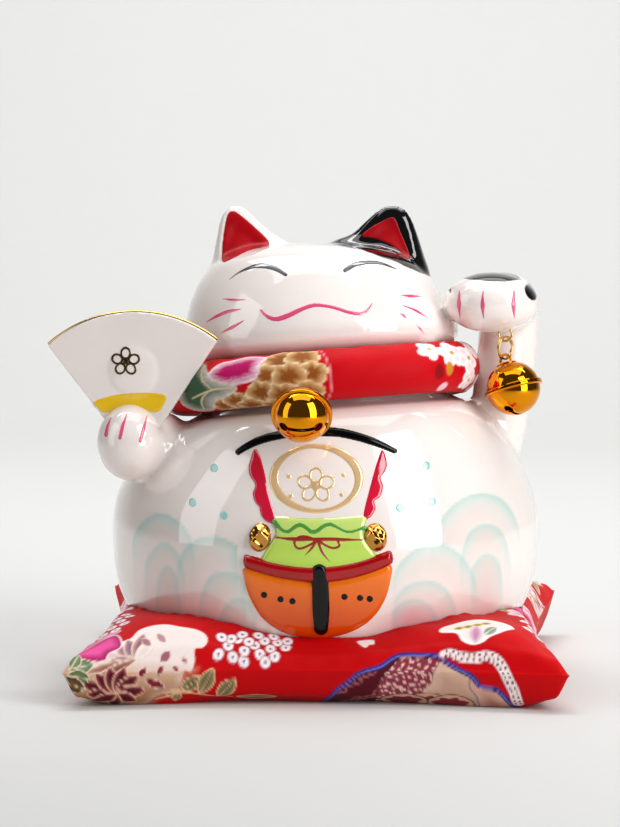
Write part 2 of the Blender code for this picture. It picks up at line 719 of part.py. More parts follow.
# ---- bells ----------------------------------------------------------------------------------
def bell_half(name, top, finish):
    """One pressed half of a jingle bell about its own centre, axis along Z, with half of the rim."""
    sign = 1 if top else -1
    inner = BELL_RADIUS - BELL_WALL
    rows = 5
    start = math.asin((CROWN_HOLE if top else 0.0) / BELL_RADIUS)
    seam = GAP / 2
    curve = [start + (math.pi / 2 - start) * k / rows for k in range(rows)]
    outside = [(BELL_RADIUS * math.sin(a), BELL_RADIUS * math.cos(a)) for a in curve]
    rim = [
        (BELL_RADIUS, seam + BELL_RIM),
        (BELL_RADIUS + BELL_FLANGE, seam + BELL_RIM),
        (BELL_RADIUS + BELL_FLANGE, seam),
        (inner, seam),
    ]
    start = math.asin((CROWN_HOLE if top else 0.0) / inner)
    curve = [start + (math.pi / 2 - start) * k / rows for k in range(rows)]
    inside = [(inner * math.sin(a), inner * math.cos(a)) for a in reversed(curve)]
    shape = bmesh.new()
    loop = [shape.verts.new((x, 0, sign * z)) for x, z in outside + rim + inside]
    edges = [shape.edges.new(pair) for pair in zip(loop, loop[1:])]
    if top:
        edges.append(shape.edges.new((loop[-1], loop[0])))
    bmesh.ops.spin(
        shape,
        geom=loop + edges,
        cent=(0, 0, 0),
        axis=(0, 0, 1),
        angle=2 * math.pi,
        steps=BELL_SIDES,
        use_merge=True,
    )
    bmesh.ops.remove_doubles(shape, verts=shape.verts, dist=1e-6)
    made = from_bmesh(name, shape, finish)
    if not top:
        slit = box(name + "_slit", (0, 0, -BELL_RADIUS), (2 * SLIT_REACH, SLIT_WIDTH, 2 * BELL_RADIUS))
        boolean(made, slit, "DIFFERENCE")
        for side in (-1, 1):
            eye = cylinder(name + "_slit_eye", SLIT_EYE, -2 * BELL_RADIUS, -1.2 * MM, 12)
            eye.data.transform(Matrix.Translation((side * SLIT_REACH, 0, 0)))
            boolean(made, eye, "DIFFERENCE")
    return made


def place(made, matrix):
    """Moves a bell piece and its cutters from the bell's own frame to their place."""
    made.data.transform(matrix)
    for step in made.modifiers:
        step.object.data.transform(matrix)


def bell(prefix, matrix, brass, steel):
    """A jingle bell: two crimped shells, a wire staple through the crown, and a loose pellet."""
    place(bell_half(prefix + "_upper_shell", True, brass), matrix)
    place(bell_half(prefix + "_lower_shell", False, brass), matrix)
    crown = BELL_RADIUS
    middle = crown + (STAPLE_REACH - STAPLE_DEPTH) / 2
    half = (STAPLE_REACH + STAPLE_DEPTH) / 2
    across = (matrix.to_3x3() @ Vector((0, 1, 0))).normalized()
    up = (matrix.to_3x3() @ Vector((0, 0, 1))).normalized()
    centre = matrix @ Vector((0, 0, middle))
    wire_ring(prefix + "_staple", centre, across, up, STAPLE_HALF, half, STAPLE_WIRE, brass, 16)
    fall = BELL_RADIUS - BELL_WALL - PELLET_RADIUS - PELLET_FIT
    drop = matrix.translation - Vector((0, 0, fall))
    ellipsoid(prefix + "_pellet", drop, Vector((1, 1, 1)) * PELLET_RADIUS, 8, 12, steel)


def split_ring_low():
    """Centre of the split ring's lowest wire, which is where the bell swings."""
    ring_top = EYE_LOW.z + EYE_WIRE + LINK_FIT + SPLIT_WIRE
    return Vector((EYE_LOW.x, EYE_LOW.y, ring_top - 2 * SPLIT_RADIUS))


def paw_bell_matrix():
    """The bell hangs in the split ring and leans outward."""
    hinge = Vector((math.cos(SPLIT_TURN), math.sin(SPLIT_TURN), 0))
    turn = Matrix.Rotation(-PAW_BELL_LEAN, 4, hinge) @ Matrix.Rotation(SPLIT_TURN, 4, "Z")
    drop = BELL_RADIUS + STAPLE_REACH - STAPLE_WIRE - LINK_FIT - SPLIT_WIRE
    return Matrix.Translation(split_ring_low() + turn @ Vector((0, 0, -drop))) @ turn


def collar_bell_matrix():
    """The bell lies on the belly under the collar, its slit side turned to the front."""
    tube = collar_centre(-90, COLLAR_RADIUS)
    tube.x = COLLAR_BELL_X
    reach = COLLAR_RADIUS + GAP + THREAD_END + 2 * JUMP_RADIUS
    reach += BELL_RADIUS + STAPLE_REACH - STAPLE_WIRE - LINK_FIT - JUMP_WIRE
    away = Vector((0, -math.cos(COLLAR_BELL_DROP), -math.sin(COLLAR_BELL_DROP)))
    up_turn = Matrix.Rotation(-(math.pi / 2 - COLLAR_BELL_DROP), 4, "X")
    return Matrix.Translation(tube + away * reach) @ up_turn


def eye_points(extra=0.0):
    """The wire eye: most of a circle, its two legs run up into the paw."""
    centre = EYE_LOW + Vector((0, 0, EYE_RADIUS))
    sweep_angle = math.radians(125)
    turn = [-sweep_angle + 2 * sweep_angle * k / 16 for k in range(17)]
    round_part = [centre + Vector((EYE_RADIUS * math.sin(a), 0, -EYE_RADIUS * math.cos(a))) for a in turn]
    leg = Vector((0, 0, 5.0 * MM + extra))
    return [round_part[0] + leg] + round_part + [round_part[-1] + leg]


def eye_bed():
    bed = wire("eye_bed", eye_points(GAP), EYE_WIRE + GAP, bpy.data.materials["steel"])
    mesh = bpy.data.meshes.new_from_object(bed)
    bpy.data.objects.remove(bed)
    shape = bmesh.new()
    shape.from_mesh(mesh)
    bmesh.ops.remove_doubles(shape, verts=shape.verts, dist=1e-6)
    return from_bmesh("eye_bed_cutter", shape)


def hanging_wires(brass, thread):
    wire("paw_eye", eye_points(), EYE_WIRE, brass)
    centre = split_ring_low() + Vector((0, 0, SPLIT_RADIUS))
    across = Vector((math.cos(SPLIT_TURN), math.sin(SPLIT_TURN), 0))
    up = Vector((0, 0, 1))
    wire_ring("paw_split_ring", centre, across, up, SPLIT_RADIUS, SPLIT_RADIUS, SPLIT_WIRE, brass)
    matrix = collar_bell_matrix()
    toward = (matrix.to_3x3() @ Vector((0, 0, 1))).normalized()
    reach = BELL_RADIUS + STAPLE_REACH - STAPLE_WIRE - LINK_FIT - JUMP_WIRE
    near = matrix.translation + toward * reach
    side = Vector((1, 0, 0))
    ring_centre = near + toward * JUMP_RADIUS
    wire_ring("collar_jump_ring", ring_centre, side, toward, JUMP_RADIUS, JUMP_RADIUS, JUMP_WIRE, brass, 16)
    far = near + toward * 2 * JUMP_RADIUS
    lift = side.cross(toward).normalized()
    loop_radius = JUMP_WIRE + LINK_FIT + THREAD_WIRE
    turn = [math.pi * k / 6 for k in range(7)]
    arc = [far + lift * loop_radius * math.cos(a) - toward * loop_radius * math.sin(a) for a in turn]
    end = toward * THREAD_END
    wire("collar_bell_thread", [arc[0] + end] + arc + [arc[-1] + end], THREAD_WIRE, thread)


def main():
    clear_scene()
    bpy.context.scene.unit_settings.system = "METRIC"
    glaze = material("glaze", (0.90, 0.87, 0.85), 0.12)
    cloth = material("brocade", (0.72, 0.02, 0.04), 0.7)
    wadding = material("wadding", (0.9, 0.9, 0.88), 0.95)
    rubber = material("rubber", (0.86, 0.85, 0.8), 0.6)
    brass = material("brass", (0.90, 0.55, 0.12), 0.15, 1.0)
    steel = material("steel", (0.6, 0.6, 0.62), 0.3, 1.0)
    cord = material("cord", (0.65, 0.02, 0.04), 0.8)
    cushion(cloth, wadding)
    body_shell(glaze)
    raised_arm(glaze)
    fan_arm(glaze)
    fan(glaze)
    base_stopper(rubber)
    collar(cloth, wadding, cord)
    bell("collar_bell", collar_bell_matrix(), brass, steel)
    bell("paw_bell", paw_bell_matrix(), brass, steel)
    hanging_wires(brass, cord)


main()
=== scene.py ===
"""Looks of a beckoning cat money bank on its stuffed cushion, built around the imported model.

Porcelain casting, glazed and gilded decoration, fan, jingle bells, printed crepe collar and cushion,
and a plain studio stage. Metres, +Z up, the cat faces -Y. Lists of sizes are in millimetres.
"""

import json
import math

import bmesh
import bpy
import numpy as np
from mathutils import Matrix, Vector
from mathutils.bvhtree import BVHTree

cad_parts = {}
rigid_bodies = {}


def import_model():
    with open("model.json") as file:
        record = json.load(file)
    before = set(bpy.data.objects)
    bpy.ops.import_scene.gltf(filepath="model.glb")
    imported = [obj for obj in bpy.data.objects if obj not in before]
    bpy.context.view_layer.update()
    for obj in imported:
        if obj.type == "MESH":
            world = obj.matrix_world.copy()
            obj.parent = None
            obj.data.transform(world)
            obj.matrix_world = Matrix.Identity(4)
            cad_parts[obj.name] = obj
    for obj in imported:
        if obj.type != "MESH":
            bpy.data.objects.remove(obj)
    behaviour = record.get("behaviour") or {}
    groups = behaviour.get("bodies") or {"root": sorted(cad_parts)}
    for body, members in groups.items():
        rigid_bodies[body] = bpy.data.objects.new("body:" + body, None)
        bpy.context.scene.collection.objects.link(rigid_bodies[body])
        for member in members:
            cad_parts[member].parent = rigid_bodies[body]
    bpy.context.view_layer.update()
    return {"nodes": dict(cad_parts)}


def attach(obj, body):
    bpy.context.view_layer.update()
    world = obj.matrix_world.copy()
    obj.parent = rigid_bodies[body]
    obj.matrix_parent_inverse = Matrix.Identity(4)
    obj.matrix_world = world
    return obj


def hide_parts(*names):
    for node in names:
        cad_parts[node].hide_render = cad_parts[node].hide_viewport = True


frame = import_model()

bl_info = {
    "name": "Beckoning Cat on a Cushion",
    "version": (1, 0, 0),
    "blender": (4, 5, 0),
    "location": "3D View > Sidebar > Beckoning Cat",
    "description": "Builds a porcelain money cat with its fan, bells, collar and cushion",
    "category": "Add Mesh",
}

MM = 0.001

# ---- forms of the cat, in millimetres -------------------------------------------------------
FOOT = 15.0
HEAD_TOP = 161.3
HEAD_ASIDE = 3.2
HEAD_FORWARD = 3.0
BELLY_DEPTH = 0.93
NECK_DEPTH = 0.87
NECK_RADIUS = 42.4
COLLAR_HEIGHT = 110.0
SIDE_TILT = math.tan(math.radians(5.0))
FRONT_TILT = math.tan(math.radians(6.0))
FOOT_SIDE = [(0, 15.0), (30, 15.0), (44.5, 15.0), (46.5, 15.3), (56, 15.8)]
BELLY_SIDE = [(64.5, 17.2), (71.0, 21.0), (75.6, 27.5), (78.6, 36), (80.0, 47), (80.0, 58), (78.0, 68)]
SHOULDER_SIDE = [(74.5, 76), (69.0, 84.5), (62.5, 92.5), (56.5, 97.5), (50.0, 99.4)]
NECK_SIDE = [(45.0, 102.6), (42.4, 110), (45.0, 117.3)]
HEAD_SIDE = [(49.8, 121.5), (51.3, 127), (49.4, 134.5), (46.3, 142), (42.4, 149), (37.0, 155)]
CROWN_SIDE = [(28.5, 159.0), (17, 160.8), (7, 161.25), (0, 161.3)]
RIGHT_EAR = [(-46, 141), (-43.2, 150), (-40.6, 163), (-39.2, 170), (-37.2, 174), (-34.2, 175.7)]
RIGHT_EAR += [(-31, 175.2), (-27.5, 172.6), (-21.1, 166.3), (-14, 161.8), (-8, 157), (-20, 141), (-34, 136)]
LEFT_EAR = [(39.6, 147), (36.9, 157.4), (33.4, 168), (31.2, 172.6), (28.6, 175), (25, 175.8), (21, 174.5)]
LEFT_EAR += [(15.2, 169.7), (10, 164.9), (1, 160.4), (4, 150), (20, 140), (34, 138)]
CASTING_VOXEL = 1.1 * MM
WALL = 4.0


# ---- sizes and colours that a maker would change --------------------------------------------
def length(name, what, value):
    return bpy.props.FloatProperty(
        name=name, description=what, default=value * MM, unit="LENGTH", subtype="DISTANCE", precision=5
    )


def tint(name, what, code):
    return bpy.props.FloatVectorProperty(
        name=name, description=what, default=ink(code), subtype="COLOR", size=3, min=0.0, max=1.0
    )


def ink(code):
    """A linear colour from a hexadecimal paint code."""
    parts = [int(code[k : k + 2], 16) / 255 for k in (0, 2, 4)]
    return tuple(p / 12.92 if p <= 0.04045 else ((p + 0.055) / 1.055) ** 2.4 for p in parts)


class CatSizes(bpy.types.PropertyGroup):
    wall: length("Wall", "Thickness of the slip-cast wall", WALL)
    slot_length: length("Coin slot length", "Long side of the coin slot", 38.0)
    slot_width: length("Coin slot width", "Short side of the coin slot", 5.4)
    enamel: length("Enamel height", "How far a painted mark stands up from the glaze", 0.16)
    porcelain: tint("Porcelain", "Body colour under the glaze", "f3e9e4")
    black: tint("Black enamel", "Patches, rudder and yard", "050405")
    crimson: tint("Crimson enamel", "Inside of the ears", "a4000d")
    pink: tint("Pink enamel", "Mouth, whiskers and toes", "e2507c")


class FanSizes(bpy.types.PropertyGroup):
    radius: length("Fan radius", "From the middle of the fist to the arched edge", 49.6)
    thick: length("Fan thickness", "Thickness of the plate", 3.4)
    band: tint("Fan band", "Painted band above the fist", "f2c40c")


class BellSizes(bpy.types.PropertyGroup):
    radius: length("Bell radius", "Outside of a pressed shell", 9.9)
    wall: length("Bell wall", "Thickness of the pressed metal", 0.7)
    flange: length("Bell flange", "How far the crimped rim stands out", 0.95)
    plating: tint("Gold plating", "Colour of the bells and rings", "e89212")


class CollarSizes(bpy.types.PropertyGroup):
    radius: length("Collar radius", "Half the thickness of the stuffed tube", 9.4)
    ground: tint("Collar ground", "Ground colour of the collar cloth", "c60010")


class CushionSizes(bpy.types.PropertyGroup):
    tip: length("Corner", "Middle of the cushion to a corner's tip, along one side", 90.0)
    waist: length("Waist", "Middle of the cushion to the middle of a side", 84.5)
    seam: length("Seam height", "Height of the seam at the middle of a side", 12.0)
    crown: length("Crown", "Highest place of the top panel", 27.0)
    ground: tint("Cushion ground", "Ground colour of the cushion cloth", "c40006")


SIZE_GROUPS = {
    "cat_sizes": CatSizes,
    "fan_sizes": FanSizes,
    "bell_sizes": BellSizes,
    "collar_sizes": CollarSizes,
    "cushion_sizes": CushionSizes,
}


def sizes(group):
    return getattr(bpy.context.scene, group)


# ---- handling of objects --------------------------------------------------------------------
def pick(*objects):
    for other in bpy.context.view_layer.objects:
        other.select_set(False)
    for made in objects:
        made.select_set(True)
    bpy.context.view_layer.objects.active = objects[-1] if objects else None


def named(name):
    made = bpy.context.active_object
    made.name = made.data.name = name
    return made


def ball(name, around, up):
    pick()
    bpy.ops.mesh.primitive_uv_sphere_add(segments=around, ring_count=up, radius=1.0)
    return named(name)


def points(made):
    found = np.empty(len(made.data.vertices) * 3, np.float32)
    made.data.vertices.foreach_get("co", found)
    return found.reshape(-1, 3).astype(float)


def put(made, places):
    made.data.vertices.foreach_set("co", np.asarray(places, np.float32).ravel())
    made.data.update()


def from_lists(name, places, faces):
    mesh = bpy.data.meshes.new(name)
    mesh.from_pydata([tuple(p) for p in np.asarray(places, float).tolist()], [], faces)
    made = bpy.data.objects.new(name, mesh)
    bpy.context.scene.collection.objects.link(made)
    return made


def modify(made, kind, **values):
    step = made.modifiers.new(kind.title(), kind)
    for key, value in values.items():
        setattr(step, key, value)
    pick(made)
    bpy.ops.object.modifier_apply(modifier=step.name)
    return made


def cut(made, cutter):
    modify(made, "BOOLEAN", operation="DIFFERENCE", solver="MANIFOLD", object=cutter)
    bpy.data.objects.remove(cutter, do_unlink=True)


def join(name, *objects):
    pick(*objects)
    bpy.ops.object.join()
    return named(name)


def face_out(made):
    pick(made)
    bpy.ops.object.mode_set(mode="EDIT")
    bpy.ops.mesh.select_all(action="SELECT")
    bpy.ops.mesh.remove_doubles(threshold=1e-6)
    bpy.ops.mesh.normals_make_consistent(inside=False)
    bpy.ops.object.mode_set(mode="OBJECT")
    return made


def dress(made, finish, body, slot, *nodes, sharp=40):
    """Smooth shading, one finish, a parent body, and the imported nodes it stands in for hidden."""
    made.data.shade_smooth()
    made.data.set_sharp_from_angle(angle=math.radians(sharp))
    made.data.materials.clear()
    made.data.materials.append(finish)
    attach(made, body)
    if nodes:
        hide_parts(*nodes)
    return made


def tube(name, path, radius, closed=False, steps=12):
    """A round wire along a path in metres, as a closed mesh."""
    curve = bpy.data.curves.new(name, "CURVE")
    curve.dimensions = "3D"
    curve.bevel_depth = radius
    curve.bevel_resolution = steps // 4
    curve.use_fill_caps = not closed
    spline = curve.splines.new("POLY")
    spline.points.add(len(path) - 1)
    for place, p in zip(spline.points, path):
        place.co = (*p, 1.0)
    spline.use_cyclic_u = closed
    made = bpy.data.objects.new(name, curve)
    bpy.context.scene.collection.objects.link(made)
    pick(made)
    bpy.ops.object.convert(target="MESH")
    return face_out(named(name))


def turned(name, profile, steps=96):
    """A solid or a shell of revolution about Z; the profile is in metres, from the axis or closed."""
    ring = from_lists(name, [(r, 0.0, z) for r, z in profile], [])
    edges = [(k, k + 1) for k in range(len(profile) - 1)]
    if profile[0][0] > 1e-6:
        edges.append((len(profile) - 1, 0))
    ring.data.edges.add(len(edges))
    ring.data.edges.foreach_set("vertices", np.array(edges).ravel())
    modify(ring, "SCREW", steps=steps, render_steps=steps, use_merge_vertices=True, merge_threshold=1e-6)
    return face_out(ring)


# ---- curves and fields ----------------------------------------------------------------------
def between(p, i, u):
    """Points of a smooth curve through p: the share u of the way past point i + 1."""
    a, b, c, d = p[i], p[i + 1], p[i + 2], p[i + 3]
    return 0.5 * (2 * b + (c - a) * u + (2 * a - 5 * b + 4 * c - d) * u**2 + (3 * b - a - 3 * c + d) * u**3)


def smooth_curve(places, count, closed=False):
    """Evenly spaced points of a smooth curve through the places."""
    p = np.array(places, float)
    if closed:
        p = np.vstack([p[-1], p, p[0], p[1]])
    else:
        p = np.vstack([2 * p[0] - p[1], p, 2 * p[-1] - p[-2]])
    spans = len(p) - 3
    t = np.linspace(0, spans, spans * 32 + 1)
    i = np.minimum(t.astype(int), spans - 1)
    q = between(p, i, (t - i)[:, None])
    along = np.concatenate([[0], np.cumsum(np.linalg.norm(np.diff(q, axis=0), axis=1))])
    even = np.linspace(0, along[-1], count)
    return np.stack([np.interp(even, along, q[:, k]) for k in range(q.shape[1])], axis=1)


def ease(low, high, value):
    t = np.clip((value - low) / (high - low), 0.0, 1.0)
    return t * t * (3 - 2 * t)


def stroke(x, z, places, widths, count=24):
    """Distance inside a brush stroke through the places, whose half width follows the widths."""
    path = smooth_curve(places, count)
    half = np.interp(np.linspace(0, 1, count), np.linspace(0, 1, len(widths)), widths)
    best = np.full(x.shape, -1e9)
    for (ax, az), (bx, bz), ra, rb in zip(path, path[1:], half, half[1:]):
        dx, dz = bx - ax, bz - az
        t = np.clip(((x - ax) * dx + (z - az) * dz) / (dx * dx + dz * dz + 1e-12), 0, 1)
        best = np.maximum(best, ra + (rb - ra) * t - np.hypot(x - ax - t * dx, z - az - t * dz))
    return best


def region(x, z, places):
    """Distance inside a closed outline of straight sides."""
    near = np.full(x.shape, 1e9)
    inside = np.zeros(x.shape, bool)
    for (ax, az), (bx, bz) in zip(places, [*places[1:], places[0]]):
        dx, dz = bx - ax, bz - az
        t = np.clip(((x - ax) * dx + (z - az) * dz) / (dx * dx + dz * dz + 1e-12), 0, 1)
        near = np.minimum(near, np.hypot(x - ax - t * dx, z - az - t * dz))
        crosses = (az > z) != (bz > z)
        inside ^= crosses & (x < ax + dx * (z - az) / (dz if dz else 1e-12))
    return np.where(inside, near, -near)


def rounded(x, z, places, count=90):
    """Distance inside a closed outline drawn smoothly through the places."""
    return region(x, z, [tuple(p) for p in smooth_curve(places, count, closed=True)])


def oval(x, z, centre, wide, tall, turn=0.0):
    c, s = math.cos(math.radians(turn)), math.sin(math.radians(turn))
    dx, dz = x - centre[0], z - centre[1]
    u, v = (dx * c + dz * s) / wide, (dz * c - dx * s) / tall
    return (1 - np.hypot(u, v)) * min(wide, tall)


def leaf(x, z, base, tip, wide):
    """Distance inside a pointed leaf or petal from its base to its tip."""
    dx, dz = tip[0] - base[0], tip[1] - base[1]
    size = math.hypot(dx, dz)
    along = ((x - base[0]) * dx + (z - base[1]) * dz) / size**2
    across = ((z - base[1]) * dx - (x - base[0]) * dz) / size
    body = wide * np.maximum(np.sin(np.pi * np.clip(along, 0, 1)), 0) ** 0.75
    beyond = np.maximum(np.maximum(-along, along - 1), 0) * size
    return body - np.abs(across) - beyond


# ---- finishes -------------------------------------------------------------------------------
class Wire:
    """A value in a node tree that can be reckoned with."""

    def __init__(self, tree, socket):
        self.tree, self.socket = tree, socket

    def reckon(self, operation, other=0.0, clamp=False):
        made = self.tree.nodes.new("ShaderNodeMath")
        made.operation, made.use_clamp = operation, clamp
        self.tree.links.new(self.socket, made.inputs[0])
        if isinstance(other, Wire):
            self.tree.links.new(other.socket, made.inputs[1])
        else:
            made.inputs[1].default_value = other
        return Wire(self.tree, made.outputs[0])

    def __add__(self, other):
        return self.reckon("ADD", other)

    def __sub__(self, other):
        return self.reckon("SUBTRACT", other)

    def __mul__(self, other):
        return self.reckon("MULTIPLY", other)

    def least(self, other):
        return self.reckon("MINIMUM", other)

    def most(self, other):
        return self.reckon("MAXIMUM", other)

    def edge(self, softness):
        """1 where the value is over 0 and 0 where it is under, with an edge this soft."""
        return (self * (1 / softness)).reckon("ADD", 0.5, clamp=True)


def node(tree, kind, **inputs):
    made = tree.nodes.new("ShaderNode" + kind)
    for key, value in inputs.items():
        socket = made.inputs[key.replace("_", " ")]
        if isinstance(value, Wire):
            tree.links.new(value.socket, socket)
        elif isinstance(value, bpy.types.NodeSocket):
            tree.links.new(value, socket)
        else:
            socket.default_value = value
    return made


def mix(tree, share, low, high):
    """The colour between low and high, each a socket or a linear colour."""
    made = tree.nodes.new("ShaderNodeMix")
    made.data_type = "RGBA"
    tree.links.new(share, made.inputs[0])
    for socket, colour in ((made.inputs[6], low), (made.inputs[7], high)):
        if isinstance(colour, bpy.types.NodeSocket):
            tree.links.new(colour, socket)
        else:
            socket.default_value = (*colour, 1.0)
    return made.outputs[2]


def group(name, **amounts):
    """A new node group that turns a colour into a finish; its amounts are given by name."""
    made = bpy.data.node_groups.new(name, "ShaderNodeTree")
    colour = made.interface.new_socket("Colour", in_out="INPUT", socket_type="NodeSocketColor")
    colour.default_value = (1, 1, 1, 1)
    for label, amount in amounts.items():
        socket = made.interface.new_socket(label, in_out="INPUT", socket_type="NodeSocketFloat")
        socket.default_value = amount
    for label, kind in (("Colour", "Color"), ("Height", "Float"), ("Roughness", "Float")):
        made.interface.new_socket(label, in_out="OUTPUT", socket_type="NodeSocket" + kind)
    return made, made.nodes.new("NodeGroupInput").outputs, made.nodes.new("NodeGroupOutput").inputs


def uneven_glaze_group():
    """Slow swells and fine pits of a fired glaze, as a height and as a shade of the colour."""
    tree, given, out = group("uneven_glaze", Dullness=0.0, Pooling=0.06)
    place = node(tree, "TexCoord").outputs["Object"]
    slow = node(tree, "TexNoise", Vector=place, Scale=45.0, Detail=2.0)
    fine = node(tree, "TexNoise", Vector=place, Scale=900.0, Detail=3.0)
    height = Wire(tree, slow.outputs["Fac"]) + Wire(tree, fine.outputs["Fac"]) * 0.02
    tree.links.new(height.socket, out["Height"])
    pool = node(tree, "TexNoise", Vector=place, Scale=70.0, Detail=4.0, Roughness=0.6)
    shade = (Wire(tree, pool.outputs["Fac"]) - 0.5) * Wire(tree, given["Pooling"]) * 2.0
    value = shade.reckon("ADD", 1.0)
    toned = node(tree, "HueSaturation", Color=given["Colour"], Value=value)
    tree.links.new(toned.outputs["Color"], out["Colour"])
    rough = Wire(tree, pool.outputs["Fac"]) * 0.05 + 0.045 + Wire(tree, given["Dullness"])
    tree.links.new(rough.socket, out["Roughness"])


def crepe_group():
    """Threads and the pebbled twist of printed crepe, on the cloth's own flat pattern, with painted shade
    where the threads and pebbles dip.
    """
    tree, given, out = group("crepe", Thread=0.42 * MM, Depth=0.12)
    flat = node(tree, "UVMap").outputs["UV"]
    apart = node(tree, "SeparateXYZ", Vector=flat)
    full_turn = node(tree, "Math", Value=2 * math.pi)
    full_turn.operation = "DIVIDE"
    tree.links.new(given["Thread"], full_turn.inputs[1])
    per_metre = Wire(tree, full_turn.outputs[0])
    across = (Wire(tree, apart.outputs["X"]) * per_metre).reckon("SINE")
    along = (Wire(tree, apart.outputs["Y"]) * per_metre).reckon("SINE")
    weave = across * along
    pebble = node(tree, "TexNoise", Vector=flat, Scale=1500.0, Detail=3.0, Roughness=0.7, Distortion=0.6)
    grain = Wire(tree, pebble.outputs["Fac"])
    height = weave * 0.35 + grain * 1.4
    tree.links.new(height.socket, out["Height"])
    slub = node(tree, "TexNoise", Vector=flat, Scale=60.0, Detail=3.0)
    # Painted shade: the colour darkens where the weave and pebbles are low; the slub noise adds real uneven
    # tone.
    value = (height - 0.7) * Wire(tree, given["Depth"]) + (Wire(tree, slub.outputs["Fac"]) - 0.5) * 0.14
    toned = node(tree, "HueSaturation", Color=given["Colour"], Value=value.reckon("ADD", 1.0))
    tree.links.new(toned.outputs["Color"], out["Colour"])
    tree.links.new((grain * 0.2 + 0.42).socket, out["Roughness"])


def handled_metal_group():
    """Faint rubs and haze on polished plating."""
    tree, given, out = group("handled_metal", Haze=0.08)
    place = node(tree, "TexCoord").outputs["Object"]
    haze = node(tree, "TexNoise", Vector=place, Scale=260.0, Detail=4.0, Roughness=0.65)
    rub = node(tree, "TexNoise", Vector=place, Scale=1400.0, Detail=2.0)
    rough = Wire(tree, haze.outputs["Fac"]) * Wire(tree, given["Haze"]) * 2.0
    tree.links.new(rough.reckon("ADD", 0.01).socket, out["Roughness"])
    tree.links.new(rub.outputs["Fac"], out["Height"])
    value = (Wire(tree, haze.outputs["Fac"]) - 0.5) * 0.18
    toned = node(tree, "HueSaturation", Color=given["Colour"], Value=value.reckon("ADD", 1.0))
    tree.links.new(toned.outputs["Color"], out["Colour"])


def finish_with(name, tool, colour, bump, values, sockets, reach=MM):
    """A material whose colour, roughness and bump come through one of the node groups."""
    made = bpy.data.materials.new(name)
    made.use_nodes = True
    tree = made.node_tree
    shader = tree.nodes["Principled BSDF"]
    step = tree.nodes.new("ShaderNodeGroup")
    step.node_tree = bpy.data.node_groups[tool]
    for key, value in values.items():
        step.inputs[key].default_value = value
    if callable(colour):
        tree.links.new(colour(tree), step.inputs["Colour"])
    else:
        step.inputs["Colour"].default_value = (*colour, 1.0)
    tree.links.new(step.outputs["Colour"], shader.inputs["Base Color"])
    tree.links.new(step.outputs["Roughness"], shader.inputs["Roughness"])
    lift = node(tree, "Bump", Strength=bump, Distance=reach, Height=step.outputs["Height"])
    tree.links.new(lift.outputs["Normal"], shader.inputs["Normal"])
    for key, value in sockets.items():
        shader.inputs[key].default_value = value
    return made


def fired(name, colour, bump=0.12, pooling=0.06, coat=1.0, metallic=0.0, shine=0.5, dull=0.0):
    return finish_with(
        name,
        "uneven_glaze",
        colour,
        bump,
        {"Pooling": pooling, "Dullness": dull},
        {"Coat Weight": coat, "Coat Roughness": 0.03, "Metallic": metallic, "Specular IOR Level": shine},
        reach=0.4 * MM,
    )


def shaded(low_z, high_z, low, high):
    """A colour that runs from low to high between two heights, in millimetres."""

    def colour(tree):
        place = node(tree, "SeparateXYZ", Vector=node(tree, "TexCoord").outputs["Object"])
        share = node(tree, "MapRange", Value=place.outputs["Z"], From_Min=low_z * MM, From_Max=high_z * MM)
        return mix(tree, share.outputs["Result"], ink(low), ink(high))

    return colour


def porcelain_colour(tree):
    """Airbrushed washes from the casting's own attribute, under the black patches."""
    wash = node(tree, "Attribute")
    wash.attribute_name = "wash"
    place = node(tree, "SeparateXYZ", Vector=node(tree, "TexCoord").outputs["Object"])
    x, y, z = (Wire(tree, place.outputs[k]) for k in "XYZ")
    wobble = node(tree, "TexNoise", Vector=node(tree, "TexCoord").outputs["Object"], Scale=120.0)
    wander = (Wire(tree, wobble.outputs["Fac"]) - 0.5) * 0.0012
    # Over the crown and the left ear: above a line that falls to the side, and not far back.
    crown = z - 0.1612 + x * 0.05 + x * x * 6.7
    head = crown.least((x + 0.0035) * 0.5).least((y * -1.0 + 0.017) * 0.6).least(x * -1.0 + 0.047) + wander
    # On top of the raised paw: an oval round its middle, above its shoulder.
    px, py = (x - 0.0624) * 88.5, (y + 0.019) * 80.0
    paw = (((px * px + py * py).reckon("POWER", 0.5) * -1.0 + 1.0) * 0.0117 + wander).least(z - 0.1452)
    # On the paw's outer side: a small slanted oval, in front only.
    sx, sz = (x - 0.0762) * 0.9 + (z - 0.1442) * 0.55, (z - 0.1442) * 0.9 - (x - 0.0762) * 0.55
    spot = ((sx * 520.0) * (sx * 520.0) + (sz * 300.0) * (sz * 300.0)).reckon("POWER", 0.5)
    spot = ((spot * -1.0 + 1.0) * 0.002).least(y * -1.0 - 0.012)
    mask = head.most(paw).most(spot).edge(0.00035)
    return mix(tree, mask.socket, wash.outputs["Color"], tuple(sizes("cat_sizes").black))


def printed(tree):
    found = node(tree, "Attribute")
    found.attribute_name = "print"
    return found.outputs["Color"]


def cloth(name):
    return finish_with(
        name,
        "crepe",
        printed,
        0.35,
        {},
        {"Sheen Weight": 0.02, "Sheen Roughness": 0.4, "Specular IOR Level": 0.1},
        reach=0.12 * MM,
    )


def plated(name, colour, haze=0.03):
    return finish_with(name, "handled_metal", colour, 0.04, {"Haze": haze}, {"Metallic": 1.0},
        reach=0.05 * MM)


# ---- the cat's casting ----------------------------------------------------------------------
def cat_side():
    """Half the cat's width against height, from the foot to the crown."""
    side = FOOT_SIDE + BELLY_SIDE + SHOULDER_SIDE + NECK_SIDE + HEAD_SIDE + CROWN_SIDE
    return smooth_curve(side, 900)


